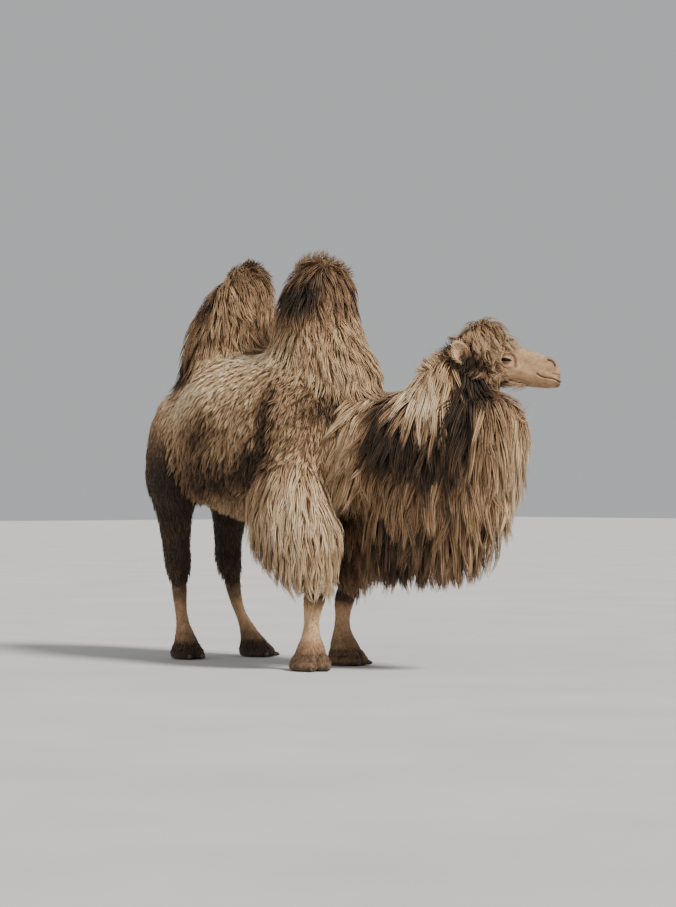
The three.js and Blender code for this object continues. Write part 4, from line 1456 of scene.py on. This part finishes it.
def make_ear(side, sign):
    """A small round cupped ear, open to the side and a little forward, with hair along its rim."""
    root = ear_place(EAR_ROOT, sign)
    reach = ear_place(EAR_TIP, sign) - root
    along_ear = reach.normalized()
    faces = HEAD_LEFT * sign + HEAD_FORWARD * 0.40
    out = (faces - along_ear * faces.dot(along_ear)).normalized()
    wide = along_ear.cross(out).normalized()
    bm = bmesh.new()
    bmesh.ops.create_grid(bm, x_segments=18, y_segments=18, size=1.0)
    for vertex in bm.verts:
        across, along = vertex.co.x, (vertex.co.y + 1) / 2
        half = EAR_HALF_WIDTH * math.sin(math.pi * (0.16 + 0.82 * along)) ** 0.55
        cup = 0.024 * across ** 2 * (1 - 0.30 * along) - 0.010 * math.sin(math.pi * along)
        vertex.co = root + reach * along + wide * half * across + out * cup
    flap = linked(f"ear_flap_{side}", mesh_from(bm, f"ear_flap_{side}"))
    wall = flap.modifiers.new("wall", "SOLIDIFY")
    wall.thickness = EAR_WALL
    wall.offset = 0
    rounding = flap.modifiers.new("rounding", "SUBSURF")
    rounding.levels = 1
    rounding.render_levels = 1
    mesh = finished(flap)
    mesh.name = f"ear_flap_{side}"
    round_off(mesh)
    points = points_of(mesh)
    up_ear = (points - np.array(root)) @ np.array(along_ear) / reach.length
    # darker towards the root: painted shade low in the ear's cup
    add_value(mesh, "tone", 0.34 + 0.38 * ease(up_ear, 0.0, 0.6))
    add_value(mesh, "bare", np.zeros(len(points)))
    add_map(mesh, "Lie", in_head(points)[:, [0, 2]], corner_vertices(mesh))
    piece = add_object(f"ear_flap_{side}", mesh, SKIN)
    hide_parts(f"ear_{side}")
    unwrap(piece)
    ground = Ground(piece)
    roots = ground.sow(np.ones(len(ground.areas), bool), EAR_HAIR["spacing"])
    from_root = roots["points"] - np.array(root - reach * 0.35)
    up_ear = (roots["points"] - np.array(root)) @ np.array(along_ear) / reach.length
    lie = unit(from_root) - 0.15 * UP
    # darker towards the root: painted shade low in the ear's cup
    tone = 0.46 + 0.42 * ease(up_ear, 0.0, 0.6)
    add_locks(ground, f"ear_hair_{side}", roots, lie, tone, EAR_HAIR)


LASHES = 44  # on each upper lid
LASH_LENGTH = 0.021
LASH_WIDTH = 0.0013
LASH_TONE = 0.06


def make_lashes(ground, side, sign):
    """A thick row of dark lashes that droop over the eye and lift at their tips."""
    rings = 4
    place = np.linspace(-0.85, 0.90, LASHES) + rng.normal(0, 0.02, LASHES)
    ahead = place * LID_OPEN[0]
    tall = LID_OPEN[1] * 0.75 * (1 - 0.22 * place)
    above = LID_TILT * ahead - 0.0015 + tall * np.sqrt(1 - place ** 2) + 0.0012
    ball = np.sqrt((EYE_RADIUS + 0.0030) ** 2 - ahead ** 2 - above ** 2)
    routes = np.empty((LASHES, rings + 1, 3))
    length = LASH_LENGTH * (0.75 + 0.5 * rng.random(LASHES)) * (1 - 0.25 * place ** 2)
    for i in range(LASHES):
        start = from_head(EYE_PLACE[1] + ahead[i], sign * (EYE_PLACE[0] + ball[i]), EYE_PLACE[2] + above[i])
        for ring in range(rings + 1):
            t = ring / rings
            outward = HEAD_LEFT * sign * (0.80 * t)
            droop = HEAD_UP * (-0.62 * t + 0.40 * t * t)
            spread = HEAD_FORWARD * (0.55 * place[i] * t)
            routes[i, ring] = start + (outward + droop + spread) * length[i]
    fronts = np.tile(np.array(HEAD_UP), (LASHES, rings + 1, 1))
    uv = ground.uv_near(routes[:, 0])
    each = np.ones(LASHES)
    name = f"lashes_{side}"
    mesh = lock_mesh(name, routes, fronts, uv, each * LASH_TONE, each * LASH_WIDTH, each * 0.4, 0.1)
    add_object(name, mesh, HAIR)


NAIL_HALF = (0.023, 0.0125, 0.013)  # half its length, width and height


def make_nail(node):
    """A short blunt claw: broad and curved above, worn flat at its tip."""
    leg = node.split("_", 2)[2]
    foot = middle(f"foot_{leg}")
    centre = middle(node)
    ahead = Vector((centre.x - foot.x, centre.y - foot.y, 0)).normalized()
    bm = bmesh.new()
    bmesh.ops.create_uvsphere(bm, u_segments=24, v_segments=14, radius=1.0)
    turn = Matrix.Rotation(math.atan2(ahead.y, ahead.x), 4, "Z")
    for vertex in bm.verts:
        x, y, z = vertex.co
        tip = max(x, 0)
        vertex.co = Vector((x, y * (1 - 0.30 * tip), z * (1 - 0.25 * tip) - 0.18 * x * x))
    bmesh.ops.scale(bm, verts=bm.verts, vec=NAIL_HALF)
    bmesh.ops.transform(bm, verts=bm.verts, matrix=Matrix.Translation(centre) @ turn)
    name = node.replace("nail", "claw")
    mesh = mesh_from(bm, name)
    round_off(mesh)
    piece = add_object(name, mesh, NAIL)
    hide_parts(node)


# ---------------------------------------------------------------- the studio

IMAGE = (676, 907)
FOCAL_PIXELS = 2400
SENSOR = 36
VIEW_SIDE = math.radians(50)  # how far ahead of square to the body's right side
CAMERA = Vector((9.656, -8.022, 0.885))
HORIZON_ROW = 495  # counted from the top of the image


# The lights: name, where each shines from, strength, width in degrees and colour.
LIGHTS = [
    ("key", (6.6, 1.0, 6.6), 5.2, 14, (1.0, 0.97, 0.93)),
    ("fill", (2.5, -8.0, 3.0), 0.6, 60, (0.95, 0.97, 1.0)),
]
SKY = (0.62, 0.63, 0.64, 1)
SKY_STRENGTH = 0.75
FLOOR_HALF = 60


def make_camera():
    data = bpy.data.cameras.new("camera")
    data.sensor_width = SENSOR
    data.lens = FOCAL_PIXELS * SENSOR / max(IMAGE)
    data.clip_start = 0.1
    data.clip_end = 200
    camera = bpy.data.objects.new("camera", data)
    bpy.context.scene.collection.objects.link(camera)
    rise = math.atan((HORIZON_ROW - IMAGE[1] / 2) / FOCAL_PIXELS)
    ahead = Vector((-math.sin(VIEW_SIDE), math.cos(VIEW_SIDE), math.tan(rise)))
    camera.location = CAMERA
    camera.rotation_euler = ahead.to_track_quat("-Z", "Y").to_euler()
    bpy.context.scene.camera = camera


def add_light(name, place, power, width, colour):
    """A far soft light of the given width in degrees, which shines from place to the middle."""
    data = bpy.data.lights.new(name, "SUN")
    data.angle = math.radians(width)
    data.energy = power
    data.color = colour
    light = bpy.data.objects.new(name, data)
    light.location = place
    light.rotation_euler = (-Vector(place)).to_track_quat("-Z", "Y").to_euler()
    bpy.context.scene.collection.objects.link(light)


def make_studio():
    bm = bmesh.new()
    bmesh.ops.create_grid(bm, x_segments=1, y_segments=1, size=FLOOR_HALF)
    floor = linked("floor", mesh_from(bm, "floor"))
    floor.data.materials.append(floor_material())
    for light in LIGHTS:
        add_light(*light)
    world = bpy.data.worlds.new("studio")
    world.use_nodes = True
    background = world.node_tree.nodes["Background"]
    background.inputs["Color"].default_value = SKY
    background.inputs["Strength"].default_value = SKY_STRENGTH
    bpy.context.scene.world = world


# ---------------------------------------------------------------- assembly

make_camera()
make_studio()
skin = make_skin()
unwrap(skin)
mark_skin(skin)
ground = Ground(skin)
dress(ground)
make_eye("left", eye_left)
make_eye("right", eye_right)
make_ear("left", 1)
make_ear("right", -1)
make_lashes(ground, "left", 1)
make_lashes(ground, "right", -1)
for nail in NAILS:
    make_nail(nail)
